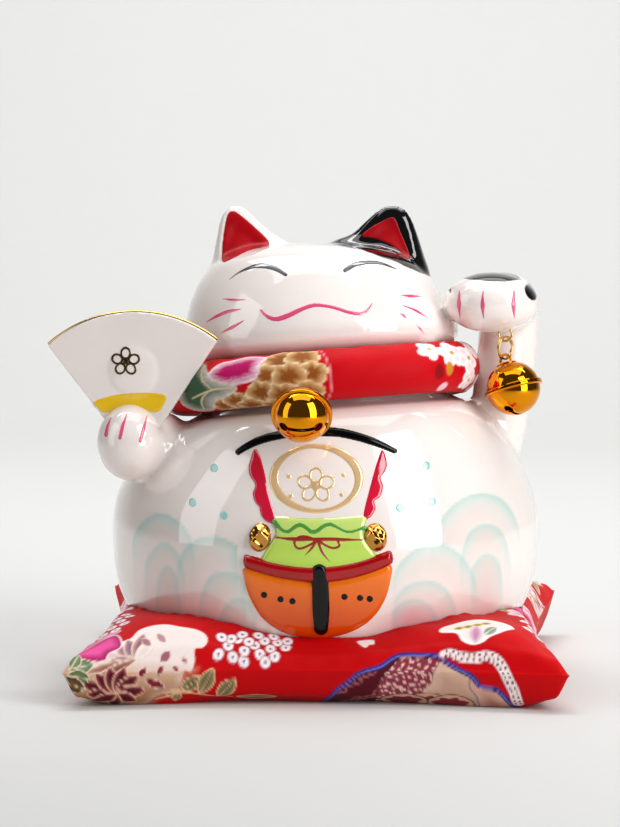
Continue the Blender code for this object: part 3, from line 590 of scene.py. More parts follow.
def cat_surface(r, z, angle, grow=0.0):
    """Places on the cat where half its width is r; the neck's rings tilt as the collar does."""
    up = ease(FOOT + 50, COLLAR_HEIGHT - 6, z)
    depth = BELLY_DEPTH + (NECK_DEPTH - BELLY_DEPTH) * up
    deep = (r - grow) * depth + np.maximum(r - grow - NECK_RADIUS, 0) * (1 - depth) * up + grow
    tilt = ease(FOOT + 50, COLLAR_HEIGHT - 8, z) * (1 - ease(COLLAR_HEIGHT + 8, HEAD_TOP - 12, z))
    x, y = r * np.cos(angle), deep * np.sin(angle)
    aside = HEAD_ASIDE * ease(COLLAR_HEIGHT + 4, HEAD_TOP - 18, z)
    lift = tilt * (x * SIDE_TILT - y * FRONT_TILT)
    return np.stack([x - aside, y - HEAD_FORWARD * up, z + lift], axis=1) * MM


def cat_form(name, around, up, inset=0.0, floor=0.0):
    """The turned body, or, with an inset, the hollow inside it from the floor up."""
    made = ball(name, around, up)
    co = points(made)
    side = cat_side()
    if inset:
        run = np.gradient(side, axis=0)
        run /= np.linalg.norm(run, axis=1)[:, None]
        side = side + np.stack([-run[:, 1], run[:, 0]], axis=1) * inset
        side = side[(side[:, 0] > 0.2) & (side[:, 1] > floor)]
        side = np.vstack([[0, floor], [side[0, 0] * 0.96, floor], side, [0, side[-1, 1]]])
        steps = np.concatenate([[0], np.cumsum(np.linalg.norm(np.diff(side, axis=0), axis=1))])
        even = np.linspace(0, steps[-1], 400)
        side = np.stack([np.interp(even, steps, side[:, k]) for k in (0, 1)], axis=1)
    share = 1 - np.arccos(np.clip(co[:, 2], -1, 1)) / np.pi
    at = np.linspace(0, 1, len(side))
    r, z = np.interp(share, at, side[:, 0]), np.interp(share, at, side[:, 1])
    put(made, cat_surface(r, z, np.arctan2(co[:, 1], co[:, 0]), -inset))
    return made


def ear_form(name, outline, centre):
    """A rounded triangle, thick at its root, with a shallow dish in front."""
    made = ball(name, 72, 48)
    co = points(made)
    turn = np.arctan2(co[:, 2], co[:, 0])
    edge = smooth_curve(outline, 240, closed=True) - np.array(centre)
    order = np.argsort(np.arctan2(edge[:, 1], edge[:, 0]))
    angles, reach = np.arctan2(edge[:, 1], edge[:, 0])[order], np.hypot(edge[:, 0], edge[:, 1])[order]
    radius = np.interp(turn, angles, reach, period=2 * np.pi)
    flat = np.abs(co[:, 1])
    out = np.sqrt(np.maximum(1 - flat**2.2, 0)) * radius
    x, z = centre[0] + out * np.cos(turn), centre[1] + out * np.sin(turn)
    thick = np.interp(z, [146, 160, 170, 176], [13.0, 8.6, 4.6, 2.2])
    y = co[:, 1] * thick - HEAD_FORWARD
    dish = ease(0.80, 0.45, out / radius) * (co[:, 1] < 0) * ease(147, 158, z)
    put(made, np.stack([x, y + dish * 2.6, z], axis=1) * MM)
    return made


def lump(name, centre, half):
    made = ball(name, 64, 40)
    put(made, (points(made) * np.array(half) + np.array(centre)) * MM)
    return made


def forearm():
    """Upright forearm from the shoulder to the wrist of the raised paw."""
    made = ball("forearm", 64, 80)
    co = points(made)
    share = 1 - np.arccos(np.clip(co[:, 2], -1, 1)) / np.pi
    ring = np.maximum(np.hypot(co[:, 0], co[:, 1]), 1e-9)
    size = np.minimum(ring * 2.2, 1.0) ** 0.6 * (1 - 0.1 * ease(0.82, 1.0, share))
    t = share * 1.10
    shoulder, wrist = 66, 140.7
    z = shoulder + (wrist - shoulder) * t
    swell = 1 + 0.22 * np.maximum(1 - t, 0) ** 2
    half_wide, half_deep, inward = 11.2, 11.8, 11
    x = 68.9 - np.maximum(1 - t, 0) ** 2 * inward + co[:, 0] / ring * half_wide * size
    y = 2.0 - 2 * t + co[:, 1] / ring * half_deep * swell * size
    put(made, np.stack([x, y, z], axis=1) * MM)
    return made


def wash_colours(co):
    """Colour of the casting: plain porcelain with airbrushed sea waves round the belly."""
    x, y, z = co.T / MM
    base = np.array(sizes("cat_sizes").porcelain)
    teal, warm, rose = np.array(ink("a3d2ca")), np.array(ink("e2c9c0")), np.array(ink("dc98a2"))
    colour = np.tile(base, (len(co), 1))
    front = ease(-6, -14, y) * (z < 80)
    waves = [
        [
            [(-69.0, 47), (-68.6, 55), (-64, 61.8), (-57.6, 65), (-50, 62.6), (-45.4, 56.3), (-44, 46)],
            [(-64.8, 36), (-63, 48), (-56.8, 54.8), (-51, 52.2), (-48, 44)],
            [(-60.2, 32), (-58.4, 42), (-54.8, 46.9), (-51.2, 43), (-50, 34)],
        ],
        [
            [(-50.7, 26), (-51.2, 40), (-50.2, 49.3), (-46, 55.6), (-39.4, 58.6), (-33.6, 58.2),
                (-28.5, 55.8)],
            [(-43.4, 24), (-42.4, 36), (-39, 43.8), (-33.9, 46.3), (-27.8, 45.4), (-25.6, 43)],
            [(-37.2, 20), (-35.6, 29), (-32.4, 34.8), (-28.5, 37.1), (-24.6, 36), (-22, 30)],
        ],
        [
            [(39.6, 50), (42.1, 61.2), (47.1, 68.4), (53.4, 72.0), (60.1, 72.2), (67, 68.4), (72, 59),
                (73.5, 46)],
            [(50.6, 50), (54, 59.2), (60.1, 61.7), (66, 58), (69, 48), (70, 36)],
            [(54.6, 46), (58, 50.4), (61.6, 50.8), (65.4, 46), (66.6, 34)],
        ],
        [
            [(26.8, 45), (29.5, 50), (35, 54.8), (42.9, 56.2), (50, 52.4), (55.5, 43.8), (57.4, 33),
                (57, 22)],
            [(27.4, 37), (32, 41.8), (38.6, 43.2), (44.6, 40.8), (48.6, 34.4), (50, 26), (49, 17)],
            [(26.6, 33), (31, 36.2), (35.8, 36.6), (40.6, 33.4), (43.2, 27), (43, 17)],
        ],
    ]

    def lay(amount, paint):
        nonlocal colour
        share = np.clip(amount * front, 0, 1)[:, None]
        colour = colour * (1 - share) + paint * share

    for wave in waves:
        for depth, arch in enumerate(wave):
            low = 14.0
            outline = [*map(tuple, smooth_curve(arch, 40)), (arch[-1][0], low), (arch[0][0], low)]
            inside = region(x, z, outline)
            if depth:
                lay(0.6 * np.exp(np.minimum(inside, 0) / 2.2) * (inside < 0.6) * ease(20, 40, z), base)
            crest = max(at[1] for at in arch)
            body = ease(-0.6, 0.6, inside)
            fade = ease(crest - 26, crest - 4, z) * 0.9 + 0.1
            lay(body * (0.42 + 0.10 * depth) * ease(0, 7, inside) * (0.4 + 0.6 * fade), warm)
            lay(body * np.exp(-np.maximum(inside, 0) / 2.8) * (0.84 - 0.10 * depth) * fade, teal)
    lay(0.75 * np.exp(-(((x - 33) / 10) ** 2) - ((z - 26) / 9) ** 2), rose)
    lay(0.55 * np.exp(-(((x + 40) / 16) ** 2) - ((z - 18) / 11) ** 2), rose)
    lay(0.30 * np.exp(-(((x - 58) / 13) ** 2) - ((z - 24) / 10) ** 2), rose)
    return colour


def paint_points(made, name, colours):
    layer = made.data.color_attributes.new(name, "FLOAT_COLOR", "POINT")
    rgba = np.ones((len(colours), 4), np.float32)
    rgba[:, :3] = np.clip(colours, 0, 1)
    layer.data.foreach_set("color", rgba.ravel())


def plain_cylinder(name, radius, low, high, top=None, sides=96):
    pick()
    bpy.ops.mesh.primitive_cone_add(
        vertices=sides,
        radius1=radius * MM,
        radius2=(radius if top is None else top) * MM,
        depth=(high - low) * MM,
        location=(0, 0, (low + high) / 2 * MM),
    )
    made = named(name)
    bpy.ops.object.transform_apply(location=True, rotation=True, scale=True)
    return made


def block(name, centre, size):
    """A rectangular block, in metres."""
    pick()
    bpy.ops.mesh.primitive_cube_add(size=1.0, location=centre)
    made = named(name)
    made.scale = size
    bpy.ops.object.transform_apply(location=True, rotation=True, scale=True)
    return made


def porcelain_cat():
    own = sizes("cat_sizes")
    forms = [
        cat_form("cat_body", 192, 150),
        ear_form("right_ear", RIGHT_EAR, (-30, 157)),
        ear_form("left_ear", LEFT_EAR, (24, 157)),
        forearm(),
        lump("paw", (61.9, -21, 140.2), (17.4, 15.5, 11.2)),
        lump("wrist", (66.2, -9.6, 139.4), (13.4, 15, 11.4)),
        lump("fan_fist", (-69.8, -36, 89.6), (12.3, 13, 14.2)),
        lump("fan_cuff", (-62, -22, 87), (14, 19, 13)),
    ]
    made = join("porcelain_cat", *forms)
    modify(made, "REMESH", mode="VOXEL", voxel_size=CASTING_VOXEL)
    modify(made, "SMOOTH", factor=0.5, iterations=7)
    face_out(made)
    surface = made.copy()
    surface.data = made.data.copy()
    surface.name = "glaze_surface"
    bpy.context.scene.collection.objects.link(surface)
    cut(made, cat_form("hollow", 72, 60, inset=own.wall / MM, floor=FOOT + 13))
    cut(made, plain_cylinder("recess", 39, FOOT - 4, FOOT + 9, top=36))
    cut(made, plain_cylinder("hole", 15.3, FOOT, FOOT + 16))
    cut(made, block("slot", (0, 63 * MM, 87 * MM), (own.slot_length, 44 * MM, own.slot_width)))
    paint_points(made, "wash", wash_colours(points(made)))
    glaze = fired("porcelain_glaze", porcelain_colour, bump=0.10, pooling=0.035)
    dress(made, glaze, "cat", "glaze", "body_shell", "raised_arm", "fan_arm", sharp=38)
    return made, surface


# ---- enamel laid on the glaze ---------------------------------------------------------------
class Ground:
    """The surface that enamel is laid on, met from the front."""

    def __init__(self, made):
        mesh = made.data
        mesh.calc_loop_triangles()
        self.tree = BVHTree.FromPolygons(
            [v.co[:] for v in mesh.vertices], [t.vertices[:] for t in mesh.loop_triangles]
        )

    def depth(self, x, z):
        found = np.full(x.shape, np.nan)
        ahead = Vector((0, 1, 0))
        for at in np.ndindex(x.shape):
            hit = self.tree.ray_cast(Vector((x[at] * MM, -0.2, z[at] * MM)), ahead)[0]
            if hit:
                found[at] = hit.y / MM
        return found


def blur(field, times):
    """Evens out a field of numbers, each place with its neighbours."""
    for _ in range(times):
        p = np.pad(field, 1, mode="edge")
        cross = p[:-2, 1:-1] + p[2:, 1:-1] + p[1:-1, :-2] + p[1:-1, 2:]
        field = 0.5 * field + 0.125 * cross
    return field


def mark(name, ground, span, field, finish, height=None, cell=0.4, edge=None, base=0.0, bumps=None):
    """Enamel over a part of the surface: it stands up where the field is over 0 and dives under elsewhere.

    span is (low x, low z, high x, high z). base is the height that it starts from.
    """
    if height is None:
        height = sizes("cat_sizes").enamel / MM
    edge = edge or max(height, 0.25)
    sunk = 0.35
    count_x = int((span[2] - span[0]) / cell) + 1
    count_z = int((span[3] - span[1]) / cell) + 1
    pick()
    bpy.ops.mesh.primitive_grid_add(x_subdivisions=count_x, y_subdivisions=count_z, size=1.0)
    made = named(name)
    flat = points(made)
    rows = flat.reshape(count_z + 1, count_x + 1, 3)
    x = span[0] + (rows[..., 0] + 0.5) * (span[2] - span[0])
    z = span[1] + (rows[..., 1] + 0.5) * (span[3] - span[1])
    y = ground.depth(x, z)
    missed = np.isnan(y)
    y = blur(np.where(missed, np.nanmax(y), y), 6)
    inside = field(x, z)
    share = np.clip(inside / edge, 0, 1)
    rise = height * np.sqrt(np.maximum(1 - (1 - share) ** 2, 0))
    if bumps is not None:
        rise = rise * bumps(x, z)
    lift = np.where(inside > 0, rise, np.maximum(inside * 0.9, -sunk)) + base
    dz, dx = np.gradient(y)
    step_x, step_z = (span[2] - span[0]) / count_x, (span[3] - span[1]) / count_z
    out = np.stack([dx / step_x, -np.ones_like(y), dz / step_z], axis=-1)
    out /= np.linalg.norm(out, axis=-1, keepdims=True)
    places = np.stack([x, y, z], axis=-1) + out * lift[..., None]
    put(made, places.reshape(-1, 3) * MM)
    gone = ((inside < -sunk / 0.9 - 0.05) | missed).ravel()
    shape = bmesh.new()
    shape.from_mesh(made.data)
    shape.verts.ensure_lookup_table()
    drop = [f for f in shape.faces if all(gone[v.index] for v in f.verts)]
    bmesh.ops.delete(shape, geom=drop, context="FACES")
    # The grid lies in X and Y before it is stood up, so its faces may look inwards.
    shape.normal_update()
    if sum(f.normal.y for f in shape.faces) > 0:
        bmesh.ops.reverse_faces(shape, faces=shape.faces)
    shape.to_mesh(made.data)
    shape.free()
    modify(made, "SOLIDIFY", thickness=0.3 * MM, offset=-1.0)
    return dress(made, finish, "cat", "glaze", sharp=60)


def line_blossom(x, z, centre, apart, petal, line, heart):
    """Distance inside a five-petal blossom drawn in outline, with a filled middle."""
    best = oval(x, z, centre, *heart)
    for k in range(5):
        a = math.radians(90 + 72 * k)
        at = (centre[0] + apart[0] * math.cos(a), centre[1] + apart[1] * math.sin(a))
        shape = oval(x, z, at, *petal, math.degrees(a))
        best = np.maximum(best, np.minimum(shape, line - shape))
    return best


def box_of(places, margin):
    p = np.array(places, float)
    return (p[:, 0].min() - margin, p[:, 1].min() - margin, p[:, 0].max() + margin, p[:, 1].max() + margin)


def patch(name, ground, outline, finish, margin=1.5, count=90, **more):
    """One piece of enamel inside a smooth outline."""
    span = box_of(outline, margin)
    return mark(name, ground, span, lambda x, z: rounded(x, z, outline, count), finish, **more)


def brush(name, ground, strokes, finish, **more):
    """One piece of enamel made of several brush strokes, each (places, half widths)."""

    def field(x, z):
        best = np.full(x.shape, -1e9)
        for places, widths in strokes:
            best = np.maximum(best, stroke(x, z, places, widths))
        return best

    widest = max(max(widths) for _, widths in strokes)
    span = box_of([p for places, _ in strokes for p in places], widest + 1.0)
    return mark(name, ground, span, field, finish, **more)


def face_marks(ground):
    own = sizes("cat_sizes")
    charcoal = fired("charcoal_enamel", ink("3c4247"), bump=0.2, pooling=0.25)
    pink = fired("pink_enamel", tuple(own.pink), bump=0.2, pooling=0.22)
    brush(
        "right_eye_line",
        ground,
        [
            (
                [(-34, 148.7), (-31, 151), (-28, 152.5), (-24.4, 153.7), (-20.5, 153.9), (-16.4, 152.9),
                    (-12.8, 151)],
                [0.08, 0.22, 0.5, 0.78, 0.92, 0.8, 0.62],
            )
        ],
        charcoal,
        cell=0.3,
    )
    brush(
        "left_eye_line",
        ground,
        [
            (
                [(8.8, 152.6), (12, 154.4), (17.3, 155.2), (22, 154.6), (27.5, 152.4)],
                [0.85, 0.8, 0.62, 0.42, 0.1],
            )
        ],
        charcoal,
        cell=0.3,
    )
    mouth = [(-21.6, 138.4), (-19.4, 136.3), (-15.9, 135.3), (-11.6, 136.6), (-6.1, 139.2), (-1.4, 140.4)]
    mouth += [(4.7, 139.6), (10.5, 137.8), (14.8, 137.3), (17.1, 138.6), (18.6, 140.8)]
    brush(
        "mouth_line",
        ground,
        [(mouth, [0.35, 0.75, 0.95, 0.9, 0.75, 0.68, 0.6, 0.6, 0.62, 0.5, 0.15])],
        pink,
        cell=0.3,
    )
    lean = [0.08, 0.55, 0.62, 0.1]
    whiskers = [
        ([(-36.8, 142), (-32, 141.7), (-27.4, 141.9)], [0.08, 0.5, 0.1]),
        ([(-42.6, 133), (-38.6, 135.4), (-34, 137.4), (-28.6, 138.6)], lean),
        ([(-36.6, 129.6), (-32, 132), (-27.8, 134.5)], [0.1, 0.6, 0.12]),
        ([(28.8, 143.4), (32.4, 142.9), (36.2, 142.6)], [0.1, 0.55, 0.08]),
        ([(29.6, 139.8), (34.6, 137.6), (39.7, 134.2)], [0.15, 0.42, 0.06]),
        ([(28.6, 137.1), (29.8, 136.2), (31, 135.2)], [0.1, 0.5, 0.12]),
        ([(34, 133.3), (35.8, 131.4), (37.6, 129)], [0.06, 0.35, 0.08]),
    ]
    brush("whisker_lines", ground, whiskers, pink, cell=0.36)
    toes = [([(x, 145.4), (x - 0.2, 140), (x + 0.2, 135)], [0.12, 0.85, 0.1]) for x in (50.2, 58.8, 70.0)]
    brush("paw_toe_lines", ground, toes, pink, cell=0.32)
    fist = [
        ([(-76, 99.3), (-77.1, 96.5), (-77.8, 93)], [0.12, 0.6, 0.75]),
        ([(-70.2, 100.8), (-71.4, 96.5), (-72.4, 92.2)], [0.1, 0.7, 0.6]),
        ([(-63.2, 99.8), (-63.8, 96.5), (-65, 91.2)], [0.12, 0.55, 0.6]),
    ]
    brush("fist_toe_lines", ground, fist, pink, cell=0.3)


def ear_marks(ground):
    own = sizes("cat_sizes")
    crimson = fired("crimson_enamel", tuple(own.crimson), bump=0.35, pooling=0.7, coat=0.0, shine=0.25,
        dull=0.3)
    right = [(-36.3, 171.6), (-34.2, 173.2), (-31.4, 171.8), (-25.6, 167), (-20.9, 162.4), (-21.6, 160.4)]
    right += [(-27.6, 158.8), (-33.6, 155.9), (-36.9, 154.6), (-38, 156.4), (-37.7, 163.5)]
    left = [(24.6, 170.9), (26.2, 170.4), (28.2, 165.6), (30.8, 159.6), (32, 155.9), (29.6, 157.4),
        (24.6, 161)]
    left += [(18.8, 163.2), (14, 164.1), (16.4, 166.6), (20.4, 169)]
    patch("right_ear_red", ground, right, crimson, height=0.2, cell=0.34)
    patch("left_ear_red", ground, left, crimson, height=0.2, cell=0.34)


def ship_marks(ground):
    own = sizes("cat_sizes")
    black = fired("black_enamel", tuple(own.black), bump=0.2, pooling=0.3, coat=0.08, shine=0.25)
    orange = fired("orange_enamel", shaded(20, 46, "cf2e00", "ec7410"), bump=0.2, pooling=0.14, coat=0.45,
        shine=0.3)
    red = fired("red_enamel", shaded(64, 90, "d8123c", "c80c2a"), bump=0.2, pooling=0.15)
    rail_red = fired("rail_enamel", ink("a30209"), bump=0.2, pooling=0.2, coat=0.45, shine=0.3)
    lime = fired("lime_enamel", shaded(50, 66, "b4d83e", "cbe37c"), bump=0.2, pooling=0.12)
    green = fired("green_enamel", ink("4c9a3c"), bump=0.2, pooling=0.25)
    rust = fired("rust_enamel", ink("9c2a20"), bump=0.2, pooling=0.25)
    gold = fired("gold_lustre", ink("efc995"), bump=0.2, pooling=0.35, coat=0.6, metallic=0.3)
    nugget = plated("nugget_lustre", ink("c98f45"), haze=0.09)
    teal = fired("teal_enamel", ink("9bd0ca"), bump=0.1, pooling=0.15)

    hull = [(-25.4, 48.4), (-14, 45.6), (0, 44), (14, 46), (25.6, 49.6), (26, 44), (23.6, 36), (18.4, 29)]
    hull += [(10, 24.3), (-1, 22.6), (-12, 24.6), (-19.6, 30), (-24, 37.6), (-25.9, 44)]
    patch("ship_hull", ground, hull, orange, 2, height=1.3, edge=3.0)
    sack = [(-15, 66.6), (-5, 66.2), (6, 66.4), (17, 66.8), (17.2, 64), (16.6, 60.4), (18.2, 57),
        (20.9, 52.6)]
    sack += [(14, 49.6), (0, 47.8), (-13, 49), (-19.5, 51), (-17, 56.4), (-14.6, 60.6), (-14.9, 63.4)]
    patch("treasure_sack", ground, sack, lime, 2, height=1.0, edge=2.6)
    rail = [(-26, 52), (-25, 52.8), (-13, 50.2), (-1, 49.2), (12, 50.6), (22.6, 53.6), (25.8, 54.6),
        (26.6, 53)]
    rail += [(26, 49.6), (15, 45.6), (2, 43.6), (-10, 44.6), (-21, 46.8), (-25.8, 48.6)]
    patch("ship_rail", ground, rail, rail_red, 2, height=1.9, edge=2.0)
    rudder = [([(1.0, 47.6), (1.4, 40), (1.5, 32), (1.4, 27.2)], [2.9, 3.25, 3.3, 2.8])]
    brush("ship_rudder", ground, rudder, black, height=2.3, edge=1.6)
    ports = [(-18.5, 39), (-12.7, 37.6), (-8.5, 37), (9.7, 38.7), (15.1, 38.2), (18.5, 37.8)]

    def port_field(x, z):
        return np.max([oval(x, z, place, 1.15, 1.15) for place in ports], axis=0)

    mark("ship_portholes", ground, box_of(ports, 2.4), port_field, black, height=0.2, cell=0.32, base=1.25)
    wavy = [(-14.6, 64.8), (-12.6, 62.4), (-11.2, 61.5), (-9.6, 61.6), (-7.6, 63.2), (-5.9, 63.9),
        (-3.9, 63.1)]
    wavy += [(-1.6, 61.4), (0.4, 62), (2.6, 63.6), (5, 64.1), (7.6, 62.9), (11, 61.4), (14, 62), (16.4, 62.9)]
    brush("sack_hem", ground, [(wavy, [0.5, 0.7, 0.75, 0.55, 0.4])], green, cell=0.32, base=0.95)
    bow = [
        ([(-14, 59.4), (-10, 59), (-4, 58.9), (4, 59), (11, 58.8), (15.9, 58.7)],
            [0.2, 0.75, 0.6, 0.7, 0.6, 0.15]),
        ([(0, 58.8), (-4.6, 60), (-7.6, 58.6), (-7.2, 56.2), (-5.2, 55.8), (-2, 57.2), (0, 58.6)],
            [0.45, 0.45]),
        ([(0.4, 58.8), (3, 57), (6, 55.9), (8, 56.8), (7.4, 58.4)], [0.45, 0.45]),
        ([(0, 58.5), (-1.6, 56), (-4, 53.4)], [0.5, 0.45, 0.12]),
        ([(0.4, 58.5), (2, 54.6), (4.9, 50.8)], [0.55, 0.5, 0.12]),
    ]
    brush("sack_bow", ground, bow, rust, cell=0.32, base=0.97)
    yard = [(-28.9, 88.3), (-26, 90.2), (-20, 93), (-10, 95.2), (3.9, 95.9), (11.8, 94.8), (20.3, 92.2),
        (27.3, 89)]
    brush("ship_yard", ground, [(yard, [1.0, 1.35, 1.4, 1.4, 1.5, 1.45, 1.3, 0.8])], black, height=0.6,
        edge=0.9)
    right = [(-22.7, 89.6), (-24.1, 86.6), (-24.8, 83.2), (-24.1, 80.2), (-22.4, 77.9), (-22.3, 76.5),
        (-23, 74.4)]
    right += [(-22.2, 71.6), (-20.5, 69.7), (-20.3, 68.2), (-19.4, 66.2), (-17.6, 64.7), (-15, 64.2),
        (-14.5, 65.2)]
    right += [(-16, 70), (-17.6, 75.2), (-18.6, 80), (-19.4, 83), (-21, 87.6)]
    left = [(22.9, 89.6), (24.1, 87), (24.5, 84), (23.4, 81.4), (22.3, 80), (23.2, 77), (22.2, 73.6),
        (20.2, 72)]
    left += [(20.7, 69.4), (18.9, 66.6), (16.6, 65.6), (16.8, 69.5), (18.6, 76.5), (20.3, 82.8), (21.8, 87.6)]
    patch("right_pennant", ground, right, red, count=140, height=0.4, edge=0.8, cell=0.34)
    patch("left_pennant", ground, left, red, count=140, height=0.4, edge=0.8, cell=0.34)

    def ring_field(x, z):
        outer = oval(x, z, (-0.5, 79.9), 16.7, 11.9)
        width = 1.9 + 0.45 * np.sin(np.arctan2(z - 79.9, x + 0.5) * 2 + 0.6)
        best = np.minimum(outer, width - outer)
        best = np.maximum(best, line_blossom(x, z, (-0.5, 77.6), (4.1, 3.5), (2.9, 2.5), 0.75, (1.1, 1.0)))
        for cx, cz in ((-9.4, 74), (8.8, 74.4), (-10.2, 80.6), (9.4, 81.2)):
            best = np.maximum(best, oval(x, z, (cx, cz), 0.9, 0.8))
        return best

    mark("gold_ring", ground, (-19.5, 65.4, 18.5, 93.2), ring_field, gold, height=0.3, edge=0.8, cell=0.34)
    for name, cx, cz in (("right_nugget", -20.3, 59.2), ("left_nugget", 20.8, 59.4)):

        def lumps(x, z, cx=cx, cz=cz):
            swell = np.sin((x - cx) * 1.0 + 0.6) * np.cos((z - cz) * 0.85 + cx) * 0.32
            return 0.82 + swell + 0.07 * np.sin((x + z) * 2.3)

        mark(
            name,
            ground,
            (cx - 5.6, cz - 6.8, cx + 5.6, cz + 6.8),
            lambda x, z, cx=cx, cz=cz: oval(x, z, (cx, cz), 3.9, 5.0, 15 if cx > 0 else -12),
            nugget,
            height=2.9,
            edge=3.2,
            bumps=lumps,
        )
    dots = [(-37.6, 82.4), (-45.3, 70.1), (-33.5, 66.3), (38.5, 83.5), (40.7, 71.1), (29.3, 69.6)]

    def dot_field(x, z):
        return np.max([oval(x, z, place, 1.5, 1.6) for place in dots], axis=0)

    mark("spray_dots", ground, box_of(dots, 2.5), dot_field, teal, height=0.08, cell=0.45)


# ---- fan ------------------------------------------------------------------------------------
FAN_ORIGIN = Vector((-67.4, -36.0, 87.7)) * MM
FAN_TURN = math.radians(-6.0)
FAN_HALF_ANGLE = 39.6


def fan_matrix():
    lean = Matrix.Rotation(math.radians(-2.0), 4, "Y")
    return Matrix.Translation(FAN_ORIGIN) @ lean @ Matrix.Rotation(FAN_TURN, 4, "Z")


def fan_outline():
    reach = sizes("fan_sizes").radius / MM
    angles = np.radians(np.linspace(FAN_HALF_ANGLE, -FAN_HALF_ANGLE, 41))
    arc = [(reach * math.sin(a), reach * math.cos(a)) for a in angles]
    return arc + [(-8.6, 6.5), (8.6, 6.5)]


def fan_plate():
    """The flat plate with a round boss, its edges softened."""
    own = sizes("fan_sizes")
    thick = own.thick / MM
    outline = fan_outline()
    made = from_lists("fan_plate", [(x * MM, -thick / 2 * MM, z * MM) for x, z in outline],
        [range(len(outline))])
    pick(made)
    bpy.ops.object.mode_set(mode="EDIT")
    bpy.ops.mesh.select_all(action="SELECT")
    bpy.ops.mesh.extrude_region_move(TRANSFORM_OT_translate={"value": (0, thick * MM, 0)})
    bpy.ops.object.mode_set(mode="OBJECT")
    face_out(made)
    boss = lump("boss", (0, -thick / 2 + 0.4, 28), (9.6, 1.7, 9.6))
    made = join("porcelain_fan", boss, made)
    modify(made, "REMESH", mode="VOXEL", voxel_size=0.55 * MM)
    modify(made, "SMOOTH", factor=0.5, iterations=7)
    made.data.transform(fan_matrix())
    face_out(made)
    glaze = fired("fan_glaze", tuple(sizes("cat_sizes").porcelain), bump=0.12, pooling=0.05)
    return dress(made, glaze, "cat", "glaze", "fan")


def fan_marks(made):
    own = sizes("fan_sizes")
    ground = Ground(made)
    yellow = fired("yellow_enamel", tuple(own.band), bump=0.25, pooling=0.12)
    gilt = fired("rim_lustre", ink("d9b36a"), bump=0.2, pooling=0.25, coat=0.0, metallic=1.0)
    dark_gold = fired("motif_lustre", ink("5a4228"), bump=0.3, pooling=0.3, coat=0.3, metallic=0.8)
    band = [(-83.4, 104.2), (-76.4, 106.6), (-69, 107.7), (-62, 107.8), (-57.4, 107.2), (-56.4, 105.4)]
    band += [(-58.8, 101.4), (-61.4, 100.8), (-69, 102), (-75.4, 101.2), (-79.9, 100.4), (-81.4, 101.8)]
    patch("fan_band", ground, band, yellow, 1.4, height=0.2)

    def motif(x, z):
        return line_blossom(x, z, (-71.2, 119.2), (3.3, 3.1), (2.3, 2.0), 0.7, (0.9, 0.9))

    mark("fan_motif", ground, (-78, 112.4, -64.4, 126), motif, dark_gold, height=0.22, cell=0.3)
    reach = own.radius + 0.15 * MM
    arc = [math.radians(a) for a in np.linspace(FAN_HALF_ANGLE - 0.8, -FAN_HALF_ANGLE + 0.8, 61)]
    path = [fan_matrix() @ Vector((math.sin(a) * reach, 0, math.cos(a) * reach)) for a in arc]
    rim = tube("fan_rim", [p - Vector((0, 0, 0.45 * MM)) for p in path], 1.0 * MM, steps=16)
    dress(rim, gilt, "cat", "glaze")


# ---- bells and wires ------------------------------------------------------------------------
def axes_matrix(centre, side, up):
    up, side = Vector(up).normalized(), Vector(side).normalized()
    across = up.cross(side).normalized()
    turn = Matrix((side, across, up)).transposed().to_4x4()
    return Matrix.Translation(Vector(centre) * MM) @ turn


def paw_bell_place():
    return axes_matrix((70.046, -27.379, 109.081), (0.615661, 0.788011, 0), (-0.2695, 0.2106, 0.9397))


def collar_bell_place():
    return axes_matrix((-5.3, -73.224, 103.059), (1, 0, 0), (0, 0.8788, 0.4772))


def bell_shell(name, top):
    """Half a pressed bell with its crimped rim: open at the crown, or slit with two eyes below."""
    own = sizes("bell_sizes")
    outer, inner, rim = own.radius, own.radius - own.wall, 0.6 * MM
    seam, sign = 0.17 * MM, 1 if top else -1
    start = math.asin(3.3 * MM / outer) if top else 0.0
    bend = 0.5 * MM
    angles = np.linspace(start, math.pi / 2 - 0.10, 30)
    outside = [(outer * math.sin(a), outer * math.cos(a)) for a in angles]
    lip = [
        (outer + bend * 0.2, seam + rim + bend * 0.5),
        (outer + bend * 0.8, seam + rim + 0.05 * MM),
        (outer + own.flange * 0.82, seam + rim),
        (outer + own.flange, seam + rim * 0.55),
        (outer + own.flange, seam),
        (inner, seam),
    ]
    start = math.asin(3.3 * MM / inner) if top else 0.0
    angles = np.linspace(math.pi / 2 - 0.05, start, 20)
    inside = [(inner * math.sin(a), inner * math.cos(a)) for a in angles]
    profile = [(max(r, 0.0), sign * z) for r, z in outside + lip + inside]
    made = turned(name, profile, 112)
    if not top:
        cut(made, block("slit", (0, 0, -outer), (12.2 * MM, 1.3 * MM, outer * 1.8)))
        for side in (-1, 1):
            eye = plain_cylinder("slit_eye", 1.55, -2 * outer / MM, -1.4, sides=40)
            eye.data.transform(Matrix.Translation((side * 6.1 * MM, 0, 0)))
            cut(made, eye)
    return made


